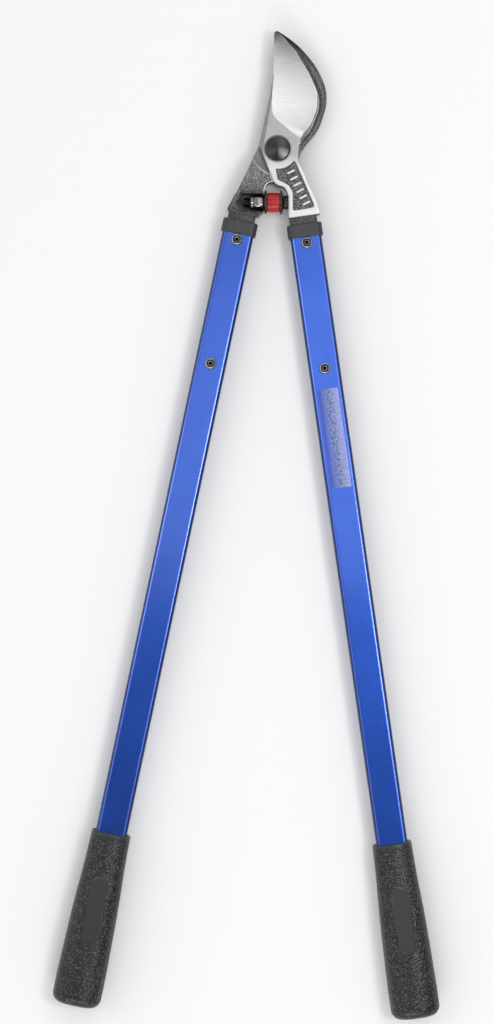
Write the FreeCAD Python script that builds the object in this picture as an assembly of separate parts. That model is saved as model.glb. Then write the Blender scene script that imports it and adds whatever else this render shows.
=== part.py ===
import FreeCAD, Part
import math
import os

from FreeCAD import Vector

# A pair of long bypass loppers lying on its back, in millimetres.
# Plan: the pivot's axis is x = 0, y = 0. +Y runs to the blade's tip, +X to the right handle, +Z up.
# Heights are counted from the plane where the blade and the hook meet. The last step lifts the
# whole tool, so that z = 0 is the surface that the pivot bolt's end and the two grips lie on.
# Each handle is drawn straight down, beside the pivot, and then swung about the pivot.

# Clearances
running_gap = 0.05  # radial play of a bolt that turns or slides in its bore
blade_gap = 0.10  # between the flat faces of the blade and of the hook
fit_gap = 0.20  # a tang in its tube, a screw in its hole, a tube in its grip
arm_gap = 0.45  # between the two thick arms when the jaws are shut
bumper_gap = 0.35  # between the stop's head and the blade arm when the jaws are shut
overrun = 1.5  # how far a cutting solid reaches past what it cuts

# Handles
left_angle = -11.95  # degrees from straight down
right_angle = 8.08
left_offset = -17.4  # handle axis, across from the pivot, before the swing
right_offset = 12.9
tube_width = 26.0
tube_thickness = 14.0
tube_corner = 3.5
tube_wall = 1.6
ferrule_length = 11.3
ferrule_wall = 1.5
ferrule_lip = 1.5
ferrule_round = 1.2
grip_start = 579.5
grip_length = 145.0
grip_cap = 9.0
grip_side_wall = 7.3
grip_face_wall = 10.0
grip_round = 8.0
grip_mouth_round = 1.2
grip_squareness = 2.5  # the power of the superellipse round the tube
grip_ring_points = 32
grip_round_steps = 6
# Rows along the grip: place, then how much of the side wall and of the face wall it has there
grip_station_shares = (
    (0.008, 0.447, 0.70),
    (0.114, 0.486, 0.73),
    (0.40, 0.76, 0.87),
    (0.69, 0.93, 0.96),
    (0.88, 1.0, 1.0),
    (0.945, 0.995, 0.995),
)
panel_length = 56.0
panel_width = 15.0
panel_depth = 0.8
panel_start = 36.0  # from the grip's mouth
panel_seat_share = 0.80  # of the face wall, where the panel's depth is counted from
label_gap = 12.5  # between the lower screw's head and the label
label_length = 82.0
label_width = 17.0
label_thickness = 0.12
screw_spacing = 104.3
screw_radius = 2.5
screw_head_radius = 4.6
screw_head_height = 2.7
screw_head_round = 1.8
screw_socket_flats = 3.0
screw_socket_depth = 1.7
screw_tail = 1.2
small_nut_flats = 8.0
small_nut_height = 4.0
nut_chamfer = 0.6
tang_tail = 11.0  # tang beyond the lower screw
neck_length = 7.0  # tang in view between the blade arm's foot and the ferrule
neck_root = 4.0  # tang inside the arm's foot

# Arms and pivot
arm_thickness = 14.0
arm_edge = 0.8  # ground chamfer round the front face of each arm
bolt_radius = 6.0
bolt_head_radius = 10.5
bolt_head_rim = 1.0
bolt_head_crown = 2.6
bolt_centre_mark = 0.9
bolt_end_chamfer = 0.8
bushing_wall = 1.5
spotface_radius = 12.0
spotface_depth = 0.6
hub_radius = 15.4
root_radius = 19.1
step_radius = 21.5  # front of the hook arm is cut away inside this, for the blade's hub
shoulder_radius = 27.0  # back of the blade arm is cut away inside this, for the hook's root
pivot_washer_radius = 11.5
pivot_washer_thickness = 2.0
pivot_nut_flats = 18.0
pivot_nut_height = 6.0

# Where the two arms part, from the hub's left corner down to the crotch
parting_top_out = 15.2
parting_top_up = 3.3
parting_foot_out = 3.2
parting_foot_down = 26.9

# Blade
blade_length = 98.2
blade_reach = 32.9
spine_bevel = 3.4
cutting_edge_shares = (
    (0.638, 0.127),
    (0.745, 0.166),
    (0.851, 0.223),
    (0.930, 0.290),
    (0.985, 0.350),
    (1.000, 0.412),
    (0.982, 0.486),
    (0.912, 0.554),
    (0.781, 0.649),
    (0.611, 0.744),
    (0.444, 0.830),
    (0.277, 0.897),
    (0.052, 0.972),
    (-0.050, 0.992),
)
spine_shares = (
    (-0.082, 0.989),
    (-0.091, 0.835),
    (-0.097, 0.691),
    (-0.115, 0.609),
    (-0.152, 0.526),
    (-0.191, 0.448),
    (-0.240, 0.377),
    (-0.295, 0.292),
    (-0.347, 0.214),
    (-0.398, 0.132),
)
# Rows across the grind: edge x, y and height, then the grind's start x, y and height
grind_shares = (
    (-0.079, 1.014, 0.10, -0.125, 1.012, 0.35),
    (0.021, 0.982, 0.09, -0.110, 0.962, 0.40),
    (0.277, 0.897, 0.08, -0.100, 0.860, 0.62),
    (0.611, 0.744, 0.07, -0.105, 0.708, 0.90),
    (0.781, 0.649, 0.07, -0.120, 0.611, 0.98),
    (0.912, 0.554, 0.07, -0.135, 0.535, 1.02),
    (1.000, 0.412, 0.07, -0.140, 0.407, 1.02),
    (0.948, 0.305, 0.08, -0.130, 0.316, 1.02),
    (0.851, 0.223, 0.10, -0.060, 0.261, 1.02),
    (0.745, 0.166, 0.13, 0.110, 0.207, 1.02),
    (0.665, 0.137, 0.28, 0.300, 0.155, 1.02),
    (0.618, 0.112, 0.60, 0.430, 0.120, 1.02),
    (0.588, 0.088, 1.05, 0.540, 0.090, 1.05),
)
# Rows up the spine: place along the blade and the bevel's width
spine_bevel_shares = ((0.132, 1.00), (0.214, 0.92), (0.377, 0.65), (0.526, 0.32), (0.691, 0.03))
parting_bevel_share = 0.22  # how far down the parting line the bevel runs out

# Hook
hook_length = 98.9
hook_reach = 40.6
# Rows across the hook: inner x, y, outer x, y, and thickness
hook_shares = (
    (0.380, -0.018, 0.461, -0.026, 0.90),
    (0.449, 0.046, 0.569, 0.034, 0.92),
    (0.562, 0.111, 0.675, 0.087, 0.95),
    (0.680, 0.187, 0.810, 0.162, 0.98),
    (0.739, 0.249, 0.887, 0.226, 1.00),
    (0.803, 0.311, 0.946, 0.301, 1.00),
    (0.830, 0.372, 0.988, 0.370, 1.00),
    (0.819, 0.440, 1.000, 0.453, 1.00),
    (0.768, 0.502, 0.970, 0.528, 0.99),
    (0.695, 0.570, 0.894, 0.609, 0.97),
    (0.596, 0.641, 0.788, 0.692, 0.94),
    (0.483, 0.714, 0.670, 0.760, 0.89),
    (0.345, 0.795, 0.515, 0.833, 0.80),
    (0.202, 0.866, 0.350, 0.896, 0.68),
    (0.064, 0.928, 0.167, 0.951, 0.52),
    (-0.039, 0.977, -0.010, 0.997, 0.36),
)
# Section of the hook: share of its width from the inner edge, share of its thickness down
hook_section_shares = (
    (0.00, 0.00),
    (0.14, 0.00),
    (0.48, 0.13),
    (1.00, 0.46),
    (1.00, 0.80),
    (0.78, 1.00),
    (0.20, 1.00),
    (0.00, 0.84),
)
# Where the hook grows out of the hub: its outer side, then its inner side
web_shares = ((0.557, 0.097), (0.611, 0.136))
gullet_shares = ((0.600, 0.139), (0.505, 0.105), (0.382, 0.097))

# Hook arm
hook_arm_reach = 41.5
hook_arm_outer_shares = (
    (-0.480, -0.110),
    (-0.690, -0.440),
    (-0.985, -0.868),
    (-0.993, -0.895),
    (-0.975, -0.912),
    (-0.585, -0.993),
    (-0.378, -1.000),
    (-0.330, -0.960),
)
crotch_rise_shares = ((0.08, 0.33), (0.36, 0.80))
root_start_angle = -80.0  # degrees from +X, where the root's round side leaves the crotch
web_blend_angle = 8.0
gullet_blend_angle = 14.0
hook_arm_foot_rise = 1.3  # above the blade arm's foot
seat_face = 11.4  # stop's seat on the hook arm, left of the pivot
seat_below = 8.2  # below the stop's axis
seat_above = 8.3

# Blade arm
blade_arm_reach = 34.9
blade_arm_right_shares = (
    (1.000, -0.937),
    (1.000, -0.888),
    (0.948, -0.775),
    (0.797, -0.574),
    (0.676, -0.407),
    (0.556, -0.242),
    (0.496, -0.139),
    (0.490, -0.104),
    (0.496, -0.037),
    (0.510, 0.059),
    (0.541, 0.136),
)
blade_arm_crotch_shares = ((0.13, 0.16), (0.72, 0.42), (0.88, 0.66))
stop_face = 9.1  # where the stop meets the blade arm, right of the pivot
stop_face_above = 4.7
stop_face_below = 9.3
sunk_panel_depth = 1.2
sunk_panel_rim = 3.3
sunk_panel_round = 1.3
sunk_panel_turn = 2.0  # degrees past the first point on its right side
sunk_panel_right_shares = ((0.440, -0.210), (0.866, -0.815), (0.842, -0.851))
rib_count = 6
rib_length = 6.6
rib_width = 1.5
rib_height = 0.9
rib_first_share = (0.315, -0.335)
rib_last_share = (0.680, -0.785)

# Stop, along the X axis between the arms
bumper_down = 43.9
bumper_up = 2.0
foot_below_bumper = 13.1  # the blade arm's foot below the stop's axis
bumper_bolt_radius = 4.0
bumper_head_radius = 5.6
bumper_head_length = 4.2
bumper_head_round = 1.3
bumper_washer_radius = 9.7
bumper_washer_hub = 6.2
bumper_washer_thickness = 2.4
bumper_washer_rim = 1.2
bumper_pad_radius = 8.1
bumper_pad_round = 0.7
bumper_nut_flats = 12.0
bumper_nut_length = 11.2
bumper_nut_collar = 3.2
bumper_bolt_tail = 5.4
bumper_travel = 1.5
pocket_tail_gap = 3.1  # left beyond the bolt's tail when the pad is squeezed
pocket_slope = 3.6

# Worked out from the above
half_arm = arm_thickness / 2
blade_arm_depth = bumper_down + foot_below_bumper
hook_arm_depth = blade_arm_depth - hook_arm_foot_rise
half_blade_gap = blade_gap / 2
rest_height = tube_thickness / 2 + grip_face_wall
tang_width = tube_width - 2 * tube_wall - 2 * fit_gap
tang_thickness = tube_thickness - 2 * tube_wall - 2 * fit_gap
neck_start = blade_arm_depth - neck_root
ferrule_start = blade_arm_depth + neck_length
ferrule_end = ferrule_start + ferrule_length
upper_screw = ferrule_end + screw_head_radius + fit_gap
lower_screw = upper_screw + screw_spacing
tang_end = lower_screw + tang_tail
grip_end = grip_start + grip_length
label_start = lower_screw + screw_head_radius + label_gap
tube_start = ferrule_start + ferrule_lip
tube_end = grip_end - grip_cap
seat_x = -seat_face
stop_x = stop_face
seat_foot_down = bumper_down + seat_below
seat_top_down = bumper_down - seat_above
stop_top_down = bumper_down - stop_face_above
stop_foot_down = bumper_down + stop_face_below
bushing_radius = bolt_radius + running_gap + bushing_wall


def places(shares, across, along):
    return [Vector(a * across, b * along, 0) for a, b in shares]


def outline(*runs):
    # Each run starts where the last one ended: two points make a line, more make one smooth curve
    edges = []
    for run in runs:
        if len(run) == 2:
            edges.append(Part.LineSegment(run[0], run[1]).toShape())
        else:
            curve = Part.BSplineCurve()
            curve.interpolate(run)
            edges.append(curve.toShape())
    return Part.Wire(edges)


def zigzag(points):
    return [list(pair) for pair in zip(points, points[1:])]


def prism(wire, bottom, top):
    solid = Part.Face(wire).extrude(Vector(0, 0, top - bottom))
    solid.translate(Vector(0, 0, bottom))
    return solid


def cylinder(radius, bottom, top):
    return Part.makeCylinder(radius, top - bottom, Vector(0, 0, bottom), Vector(0, 0, 1))


def turned(profile):
    # A solid of revolution about the Z axis from (radius, height) corners
    points = [Vector(r, 0, z) for r, z in profile]
    wire = Part.makePolygon(points + [points[0]])
    return Part.Face(wire).revolve(Vector(0, 0, 0), Vector(0, 0, 1), 360)


def hexagon(flats, bottom, top, corner_angle=0):
    radius = flats / 2 / math.cos(math.pi / 6)
    corners = []
    for i in range(7):
        angle = math.radians(60 * i + corner_angle)
        corners.append(Vector(radius * math.cos(angle), radius * math.sin(angle), 0))
    return prism(Part.makePolygon(corners), bottom, top)


def hex_nut(flats, bottom, top, bore, corner_angle=0):
    # A hexagon whose corners are turned down to a cone at both ends
    corner = flats / 2 / math.cos(math.pi / 6)
    envelope = turned(
        (
            (0, bottom),
            (corner - nut_chamfer, bottom),
            (corner, bottom + nut_chamfer / 2),
            (corner, top - nut_chamfer / 2),
            (corner - nut_chamfer, top),
            (0, top),
        )
    )
    nut = hexagon(flats, bottom, top, corner_angle).common(envelope)
    return nut.cut(cylinder(bore, bottom - overrun, top + overrun))


def bar(width, thickness, corner, start, end):
    # A bar with rounded long edges, along -Y from the pivot's level
    box = Part.makeBox(width, end - start, thickness, Vector(-width / 2, -end, -thickness / 2))
    long_edges = []
    for edge in box.Edges:
        run = edge.Vertexes[1].Point - edge.Vertexes[0].Point
        if abs(run.y) > abs(run.x) + abs(run.z):
            long_edges.append(edge)
    return box.makeFillet(corner, long_edges)


def smooth_loft(sections):
    return Part.makeLoft(sections, True, False)


def single(shape):
    # One clean solid out of a fused or cut shape
    solids = shape.removeSplitter().Solids
    if len(solids) != 1:
        raise ValueError("a piece came out as " + str(len(solids)) + " solids")
    return solids[0]


def swing(shape, offset, angle):
    moved = shape.copy()
    moved.translate(Vector(offset, 0, 0))
    moved.rotate(Vector(0, 0, 0), Vector(0, 0, 1), angle)
    return moved


# Handles: tube, ferrule, grip and screws, each along -Y from the pivot's level


def tube():
    outer = bar(tube_width, tube_thickness, tube_corner, tube_start, tube_end)
    inner = bar(
        tube_width - 2 * tube_wall,
        tube_thickness - 2 * tube_wall,
        tube_corner - tube_wall,
        tube_start - overrun,
        tube_end + overrun,
    )
    hollow = outer.cut(inner)
    for down in (upper_screw, lower_screw):
        hole = cylinder(screw_radius + fit_gap, -tube_thickness, tube_thickness)
        hole.translate(Vector(0, -down, 0))
        hollow = hollow.cut(hole)
    return hollow


def ferrule():
    width = tube_width + 2 * ferrule_wall
    thickness = tube_thickness + 2 * ferrule_wall
    corner = tube_corner + ferrule_wall
    collar = bar(width, thickness, corner, ferrule_start, ferrule_end)
    rims = [e for e in collar.Edges if abs(e.BoundBox.YMin - e.BoundBox.YMax) < fit_gap]
    collar = collar.makeFillet(ferrule_round, rims)
    seat = bar(tube_width, tube_thickness, tube_corner, tube_start, ferrule_end + overrun)
    mouth = bar(
        tang_width + 2 * fit_gap,
        tang_thickness + 2 * fit_gap,
        tube_corner - tube_wall,
        ferrule_start - overrun,
        tube_start + overrun,
    )
    return collar.cut(seat).cut(mouth)


def grip_ring(down, half_width, half_height):
    # A superellipse round the tube: |x / a| ^ n + |z / b| ^ n = 1
    points = []
    for i in range(grip_ring_points):
        angle = 2 * math.pi * i / grip_ring_points
        c = math.cos(angle)
        s = math.sin(angle)
        x = half_width * math.copysign(abs(c) ** (2 / grip_squareness), c)
        z = half_height * math.copysign(abs(s) ** (2 / grip_squareness), s)
        points.append(Vector(x, -down, z))
    curve = Part.BSplineCurve()
    curve.interpolate(points, True)
    return Part.Wire(curve.toShape())


def grip():
    # The sides swell towards the end, and both ends are rounded off by smaller rings
    sizes = []
    for along_share, side_share, face_share in grip_station_shares:
        half_width = tube_width / 2 + side_share * grip_side_wall
        half_height = tube_thickness / 2 + face_share * grip_face_wall
        sizes.append((grip_start + along_share * grip_length, half_width, half_height))
    mouth_width, mouth_height = sizes[0][1:]
    down, half_width, half_height = sizes[-1]
    sizes.insert(0, (grip_start, mouth_width - grip_mouth_round, mouth_height - grip_mouth_round))
    for i in range(1, grip_round_steps + 1):
        turn = math.pi / 2 * i / grip_round_steps
        inset = grip_round * (1 - math.cos(turn))
        reach = (grip_end - down) * math.sin(turn)
        sizes.append((down + reach, half_width - inset, half_height - inset))
    body = Part.makeLoft([grip_ring(*row) for row in sizes], True, True)
    bore = bar(
        tube_width + 2 * fit_gap,
        tube_thickness + 2 * fit_gap,
        tube_corner,
        grip_start - overrun,
        tube_end + fit_gap,
    )
    return body.cut(bore).cut(grip_panel())


def grip_panel():
    # A flat sunk panel with round ends on the grip's front
    floor = tube_thickness / 2 + panel_seat_share * grip_face_wall - panel_depth
    start = -(grip_start + panel_start)
    radius = panel_width / 2
    block = Part.makeBox(
        panel_width,
        panel_length - panel_width,
        rest_height,
        Vector(-radius, start - panel_length + radius, floor),
    )
    for y in (start - radius, start - panel_length + radius):
        block = block.fuse(
            Part.makeCylinder(radius, rest_height, Vector(0, y, floor), Vector(0, 0, 1))
        )
    return block


def screw():
    # A low round-headed screw with a hexagon socket, head up on the tube's front
    top = tube_thickness / 2
    tail = -(tube_thickness / 2 + small_nut_height + screw_tail)
    head = cylinder(screw_head_radius, top, top + screw_head_height)
    rim = [e for e in head.Edges if e.BoundBox.ZMin > top + screw_head_height / 2]
    head = head.makeFillet(screw_head_round, rim)
    socket = hexagon(
        screw_socket_flats,
        top + screw_head_height - screw_socket_depth,
        top + screw_head_height + overrun,
    )
    shank = cylinder(screw_radius, tail, top + screw_head_height / 3)
    return single(head.cut(socket).fuse(shank))


def small_nut():
    seat = -tube_thickness / 2
    return hex_nut(small_nut_flats, seat - small_nut_height, seat, screw_radius)


def label():
    box = Part.makeBox(
        label_width,
        label_length,
        label_thickness,
        Vector(-label_width / 2, -label_start - label_length, tube_thickness / 2),
    )
    return box


def tang(angle, offset):
    # Neck and tang: a bar inside the tube, held by the two screws
    body = bar(
        tang_width, tang_thickness, tube_corner - tube_wall, neck_start, tang_end
    )
    for down in (upper_screw, lower_screw):
        hole = cylinder(screw_radius + fit_gap, -tube_thickness, tube_thickness)
        hole.translate(Vector(0, -down, 0))
        body = body.cut(hole)
    return swing(body, offset, angle)


# Blade arm


def crotch_run(start, end, shares):
    span = end - start
    middle = [start + Vector(a * span.x, b * span.y, 0) for a, b in shares]
    return [start] + middle + [end]


def parting_ends():
    top = Vector(-parting_top_out, parting_top_up, 0)
    foot = Vector(-parting_foot_out, -parting_foot_down, 0)
    return top, foot


def blade_arm_wire():
    # The arm and the hub, closed by a line across the blade's root
    parting_top, parting_foot = parting_ends()
    stop_top = Vector(stop_x, -stop_top_down, 0)
    stop_foot = Vector(stop_x, -stop_foot_down, 0)
    bottom_left = Vector(stop_x, -blade_arm_depth, 0)
    right = places(blade_arm_right_shares, blade_arm_reach, blade_arm_depth)
    runs = [[parting_top, parting_foot]]
    runs.append(crotch_run(parting_foot, stop_top, blade_arm_crotch_shares))
    runs.extend(zigzag([stop_top, stop_foot, bottom_left, right[0], right[1]]))
    runs.append(right[1:])
    runs.append([right[-1], parting_top])
    return outline(*runs)


def blade_wire():
    # The blade, from the corners of the hub to the tip, closed through the pivot's centre
    parting_top = parting_ends()[0]
    heel = places(blade_arm_right_shares, blade_arm_reach, blade_arm_depth)[-1]
    edge = places(cutting_edge_shares, blade_reach, blade_length)
    spine = places(spine_shares, blade_reach, blade_length)
    runs = [[Vector(0, 0, 0), heel], [heel, edge[0]], edge, [edge[-1], spine[0]]]
    runs.append(spine + [parting_top])
    runs.append([parting_top, Vector(0, 0, 0)])
    return outline(*runs)


def grind_cutter():
    # Everything above the ground face, as a loft of upright sections across the blade
    sections = []
    top = half_arm + overrun
    for ex, ey, ez, gx, gy, gz in grind_shares:
        edge = Vector(ex * blade_reach, ey * blade_length, ez * half_arm)
        start = Vector(gx * blade_reach, gy * blade_length, gz * half_arm)
        outward = Vector(edge.x - start.x, edge.y - start.y, 0).normalize() * overrun
        beyond = edge + outward
        behind = start - outward
        corners = [
            beyond,
            edge,
            start,
            behind,
            Vector(behind.x, behind.y, top),
            Vector(beyond.x, beyond.y, top),
        ]
        sections.append(Part.makePolygon(corners + [corners[0]]))
    return smooth_loft(sections)


def spine_place(along):
    # The spine's x at a share of the blade's length, between the outline's points
    points = [(b, a) for a, b in spine_shares]
    points.append((parting_top_up / blade_length, -parting_top_out / blade_reach))
    for (high, x_high), (low, x_low) in zip(points, points[1:]):
        if low <= along <= high:
            return (x_low + (x_high - x_low) * (along - low) / (high - low)) * blade_reach
    return -parting_top_out


def spine_bevel_cutter():
    # The bevel runs out above along the spine, and below along the parting line
    top, foot = parting_ends()
    rows = [(top + (foot - top) * parting_bevel_share, arm_edge), (top, spine_bevel)]
    for along_share, width_share in spine_bevel_shares:
        place = Vector(spine_place(along_share), along_share * blade_length, 0)
        rows.append((place, width_share * spine_bevel))
    sections = []
    for place, width in rows:
        corners = [
            Vector(place.x - overrun, place.y, half_arm - width - overrun),
            Vector(place.x + width + overrun, place.y, half_arm + overrun),
            Vector(place.x - overrun, place.y, half_arm + overrun),
        ]
        sections.append(Part.makePolygon(corners + [corners[0]]))
    return Part.makeLoft(sections, True, True)


def sunk_panel_wire():
    # The panel keeps a rim to the hub, the crotch and the stop face
    arc_radius = spotface_radius + sunk_panel_rim + sunk_panel_round
    right = places(sunk_panel_right_shares, blade_arm_reach, blade_arm_depth)
    start = Vector(-parting_foot_out / 2, -math.sqrt(arc_radius**2 - (parting_foot_out / 2) ** 2), 0)
    rise = math.atan2(right[0].y, right[0].x) + math.radians(sunk_panel_turn)
    end = Vector(arc_radius * math.cos(rise), arc_radius * math.sin(rise), 0)
    half = (math.atan2(start.y, start.x) + rise) / 2
    middle = Vector(arc_radius * math.cos(half), arc_radius * math.sin(half), 0)
    arc = Part.Arc(start, middle, end).toShape()
    left = stop_x + sunk_panel_rim
    corners = [
        end,
        right[0],
        right[1],
        right[2],
        Vector(left + sunk_panel_round, -stop_foot_down + sunk_panel_rim - sunk_panel_round, 0),
        Vector(left, -stop_foot_down + sunk_panel_rim, 0),
        Vector(left, -stop_top_down + sunk_panel_rim, 0),
        Vector((stop_x + left) / 2 - sunk_panel_rim / 2, -parting_foot_down - sunk_panel_rim, 0),
        Vector(0, -parting_foot_down + sunk_panel_round, 0),
        start,
    ]
    lines = [Part.LineSegment(a, b).toShape() for a, b in zip(corners, corners[1:])]
    return Part.Wire([arc] + lines)


def sunk_panel():
    return prism(sunk_panel_wire(), half_arm - sunk_panel_depth, arm_thickness)


def ribs():
    # Plain raised bars on the panel's floor, square to the line that they stand along
    first = Vector(rib_first_share[0] * blade_arm_reach, rib_first_share[1] * blade_arm_depth, 0)
    last = Vector(rib_last_share[0] * blade_arm_reach, rib_last_share[1] * blade_arm_depth, 0)
    lean = math.degrees(math.atan2(first.x - last.x, last.y - first.y))
    floor = half_arm - sunk_panel_depth
    bars = []
    for i in range(rib_count):
        place = first + (last - first) * (i / (rib_count - 1))
        block = Part.makeBox(
            rib_length,
            rib_width,
            rib_height + overrun,
            Vector(-rib_length / 2, -rib_width / 2, floor - overrun),
        )
        block.rotate(Vector(0, 0, 0), Vector(0, 0, 1), lean)
        block.translate(place)
        bars.append(block)
    return bars


def ground_rim(solid, highest):
    # The plate with the chamfer that is ground round its front face, up to a height on the plan
    rim = []
    for edge in solid.Edges:
        box = edge.BoundBox
        if box.ZMin > half_arm - blade_gap and edge.CenterOfMass.y < highest:
            rim.append(edge)
    return solid.makeChamfer(arm_edge, rim)


def blade_arm():
    wire = blade_arm_wire()
    front = ground_rim(prism(wire, half_blade_gap, half_arm), parting_top_up)
    blade = prism(blade_wire(), half_blade_gap, half_arm)
    below = Part.makeBox(
        2 * blade_arm_depth,
        2 * blade_arm_depth,
        arm_thickness,
        Vector(-blade_arm_depth, -2 * blade_arm_depth, -half_arm),
    )
    shoulder = prism(wire, -half_arm, half_blade_gap).common(below)
    shoulder = shoulder.cut(cylinder(shoulder_radius, -arm_thickness, arm_thickness))
    body = front.fuse([blade, shoulder, tang(right_angle, right_offset)])
    body = body.cut(sunk_panel())
    for rib in ribs():
        body = body.fuse(rib)
    body = body.cut([grind_cutter(), spine_bevel_cutter()])
    body = body.cut(cylinder(bushing_radius, -arm_thickness, arm_thickness))
    body = body.cut(cylinder(spotface_radius, half_arm - spotface_depth, arm_thickness))
    return single(body)


# Hook arm


def hook_section(ix, iy, ox, oy, thick_share):
    inner = Vector(ix * hook_reach, iy * hook_length, -half_blade_gap)
    outer = Vector(ox * hook_reach, oy * hook_length, -half_blade_gap)
    depth = thick_share * (half_arm - half_blade_gap)
    corners = []
    for across, down in hook_section_shares:
        place = inner + (outer - inner) * across
        corners.append(Vector(place.x, place.y, place.z - down * depth))
    return Part.makePolygon(corners + [corners[0]])


def hook_root_wire(crotch):
    # The back level: arm, hub disc and the hook's root
    outer = places(hook_arm_outer_shares, hook_arm_reach, hook_arm_depth)
    low = math.radians(root_start_angle)
    start = Vector(root_radius * math.cos(low), root_radius * math.sin(low), 0)
    web = places(web_shares, hook_reach, hook_length)
    gullet = places(gullet_shares, hook_reach, hook_length)
    right = math.atan2(web[0].y, web[0].x) - math.radians(web_blend_angle)
    end = Vector(root_radius * math.cos(right), root_radius * math.sin(right), 0)
    middle = Vector(
        root_radius * math.cos((low + right) / 2), root_radius * math.sin((low + right) / 2), 0
    )
    hub_right = math.atan2(gullet[-1].y, gullet[-1].x) + math.radians(gullet_blend_angle)
    hub_start = Vector(hub_radius * math.cos(hub_right), hub_radius * math.sin(hub_right), 0)
    hub_turn = math.atan2(parting_top_up, -parting_top_out)
    hub_end = Vector(hub_radius * math.cos(hub_turn), hub_radius * math.sin(hub_turn), 0)
    hub_middle = Vector(
        hub_radius * math.cos((hub_right + hub_turn) / 2),
        hub_radius * math.sin((hub_right + hub_turn) / 2),
        0,
    )
    edges = outline(*hook_arm_runs(outer, hub_end, crotch)).Edges
    edges.append(Part.LineSegment(crotch[-1], start).toShape())
    edges.append(Part.Arc(start, middle, end).toShape())
    edges.extend(outline(*zigzag([end] + web + gullet[:1])).Edges)
    edges.extend(outline(gullet + [hub_start]).Edges)
    edges.append(Part.Arc(hub_start, hub_middle, hub_end).toShape())
    return Part.Wire(edges)


def hook_arm_runs(outer, hub_end, crotch):
    runs = [[hub_end] + outer[:3], outer[2:5]]
    runs.extend(zigzag(outer[4:]))
    runs.append([outer[-1], crotch[0]])
    runs.append([crotch[0], crotch[1]])
    runs.append(crotch[1:])
    return runs


def crotch_points():
    # Seat face for the stop, then the curve up to the tip beside the blade arm
    foot = Vector(seat_x, -seat_foot_down, 0)
    top = Vector(seat_x, -seat_top_down, 0)
    tip = parting_ends()[1] + parting_shift()
    span = tip - top
    rise = [top + Vector(span.x * a, span.y * b, 0) for a, b in crotch_rise_shares]
    return [foot, top] + rise + [tip]


def parting_shift():
    # Across the gap, from the parting line to the hook arm's edge
    top, foot = parting_ends()
    along = (foot - top).normalize()
    return Vector(along.y, -along.x, 0) * arm_gap


def hook_front_wire(crotch):
    # The front level: the arm alone, up to the line where it parts from the blade arm
    outer = places(hook_arm_outer_shares, hook_arm_reach, hook_arm_depth)
    hub_left = parting_ends()[0] + parting_shift()
    runs = hook_arm_runs(outer, hub_left, crotch)
    runs.append([crotch[-1], hub_left])
    return outline(*runs)


def nut_pocket():
    # Open to the front and to the stop's seat, with a floor under the nut, and room for the tail to slide
    half_height = bumper_nut_flats / 2 / math.cos(math.pi / 6) + 2 * fit_gap
    right = seat_x + overrun
    left = seat_x - bumper_nut_length - bumper_bolt_tail - bumper_travel - pocket_tail_gap
    corners = [
        Vector(right, -bumper_down + half_height, 0),
        Vector(left + pocket_slope, -bumper_down + half_height, 0),
        Vector(left, -bumper_down, 0),
        Vector(left + pocket_slope, -bumper_down - half_height, 0),
        Vector(right, -bumper_down - half_height, 0),
    ]
    floor = bumper_up - bumper_nut_flats / 2 - fit_gap
    return prism(Part.makePolygon(corners + [corners[0]]), floor, arm_thickness)


def hook_arm():
    crotch = crotch_points()
    back = prism(hook_root_wire(crotch), -half_arm, -half_blade_gap)
    front = ground_rim(prism(hook_front_wire(crotch), -half_blade_gap, half_arm), parting_top_up)
    front = front.cut(cylinder(step_radius, -half_blade_gap, arm_thickness))
    hook = smooth_loft([hook_section(*row) for row in hook_shares])
    body = back.fuse([front, hook, tang(left_angle, left_offset)])
    return single(body.cut([nut_pocket(), cylinder(bolt_radius, -arm_thickness, arm_thickness)]))


# Pivot


def pivot_bolt():
    # Turned head with a low cone and a centre mark, plain shank, end on the rest plane
    seat = half_arm - spotface_depth + half_blade_gap
    rim = seat + bolt_head_rim
    crown = rim + bolt_head_crown
    profile = (
        (0, -rest_height),
        (bolt_radius - bolt_end_chamfer, -rest_height),
        (bolt_radius, -rest_height + bolt_end_chamfer),
        (bolt_radius, seat),
        (bolt_head_radius, seat),
        (bolt_head_radius, rim),
        (bolt_head_radius - bolt_head_rim, rim + bolt_head_rim / 2),
        (bolt_centre_mark, crown),
        (0, crown - bolt_centre_mark),
    )
    return turned(profile)


def pivot_washer():
    disc = cylinder(pivot_washer_radius, -half_arm - pivot_washer_thickness, -half_arm)
    return disc.cut(cylinder(bolt_radius, -arm_thickness, 0))


def pivot_nut():
    seat = -half_arm - pivot_washer_thickness
    return hex_nut(pivot_nut_flats, seat - pivot_nut_height, seat, bolt_radius, 30)


def pivot_bushing():
    sleeve = cylinder(bushing_radius, half_blade_gap, half_arm - spotface_depth)
    return sleeve.cut(cylinder(bolt_radius + running_gap, -arm_thickness, arm_thickness))


# Stop: its pieces are turned about Z and then laid along +X


def along_x(shape, x):
    laid = shape.copy()
    laid.rotate(Vector(0, 0, 0), Vector(0, 1, 0), 90)
    laid.translate(Vector(x, -bumper_down, bumper_up))
    return laid


def bumper_washer():
    # A flanged washer, wide at z = 0 against the pad and narrower behind
    cone = turned(
        (
            (bumper_bolt_radius + running_gap, 0),
            (bumper_washer_radius, 0),
            (bumper_washer_radius, bumper_washer_rim),
            (bumper_washer_hub, bumper_washer_thickness),
            (bumper_bolt_radius + running_gap, bumper_washer_thickness),
        )
    )
    return cone


def bumper_pad(length):
    pad = cylinder(bumper_pad_radius, 0, length)
    rims = [e for e in pad.Edges if abs(e.BoundBox.ZMin - e.BoundBox.ZMax) < fit_gap]
    pad = pad.makeFillet(bumper_pad_round, rims)
    bore = cylinder(bumper_bolt_radius + 2 * running_gap, -overrun, length + overrun)
    return pad.cut(bore)


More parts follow.
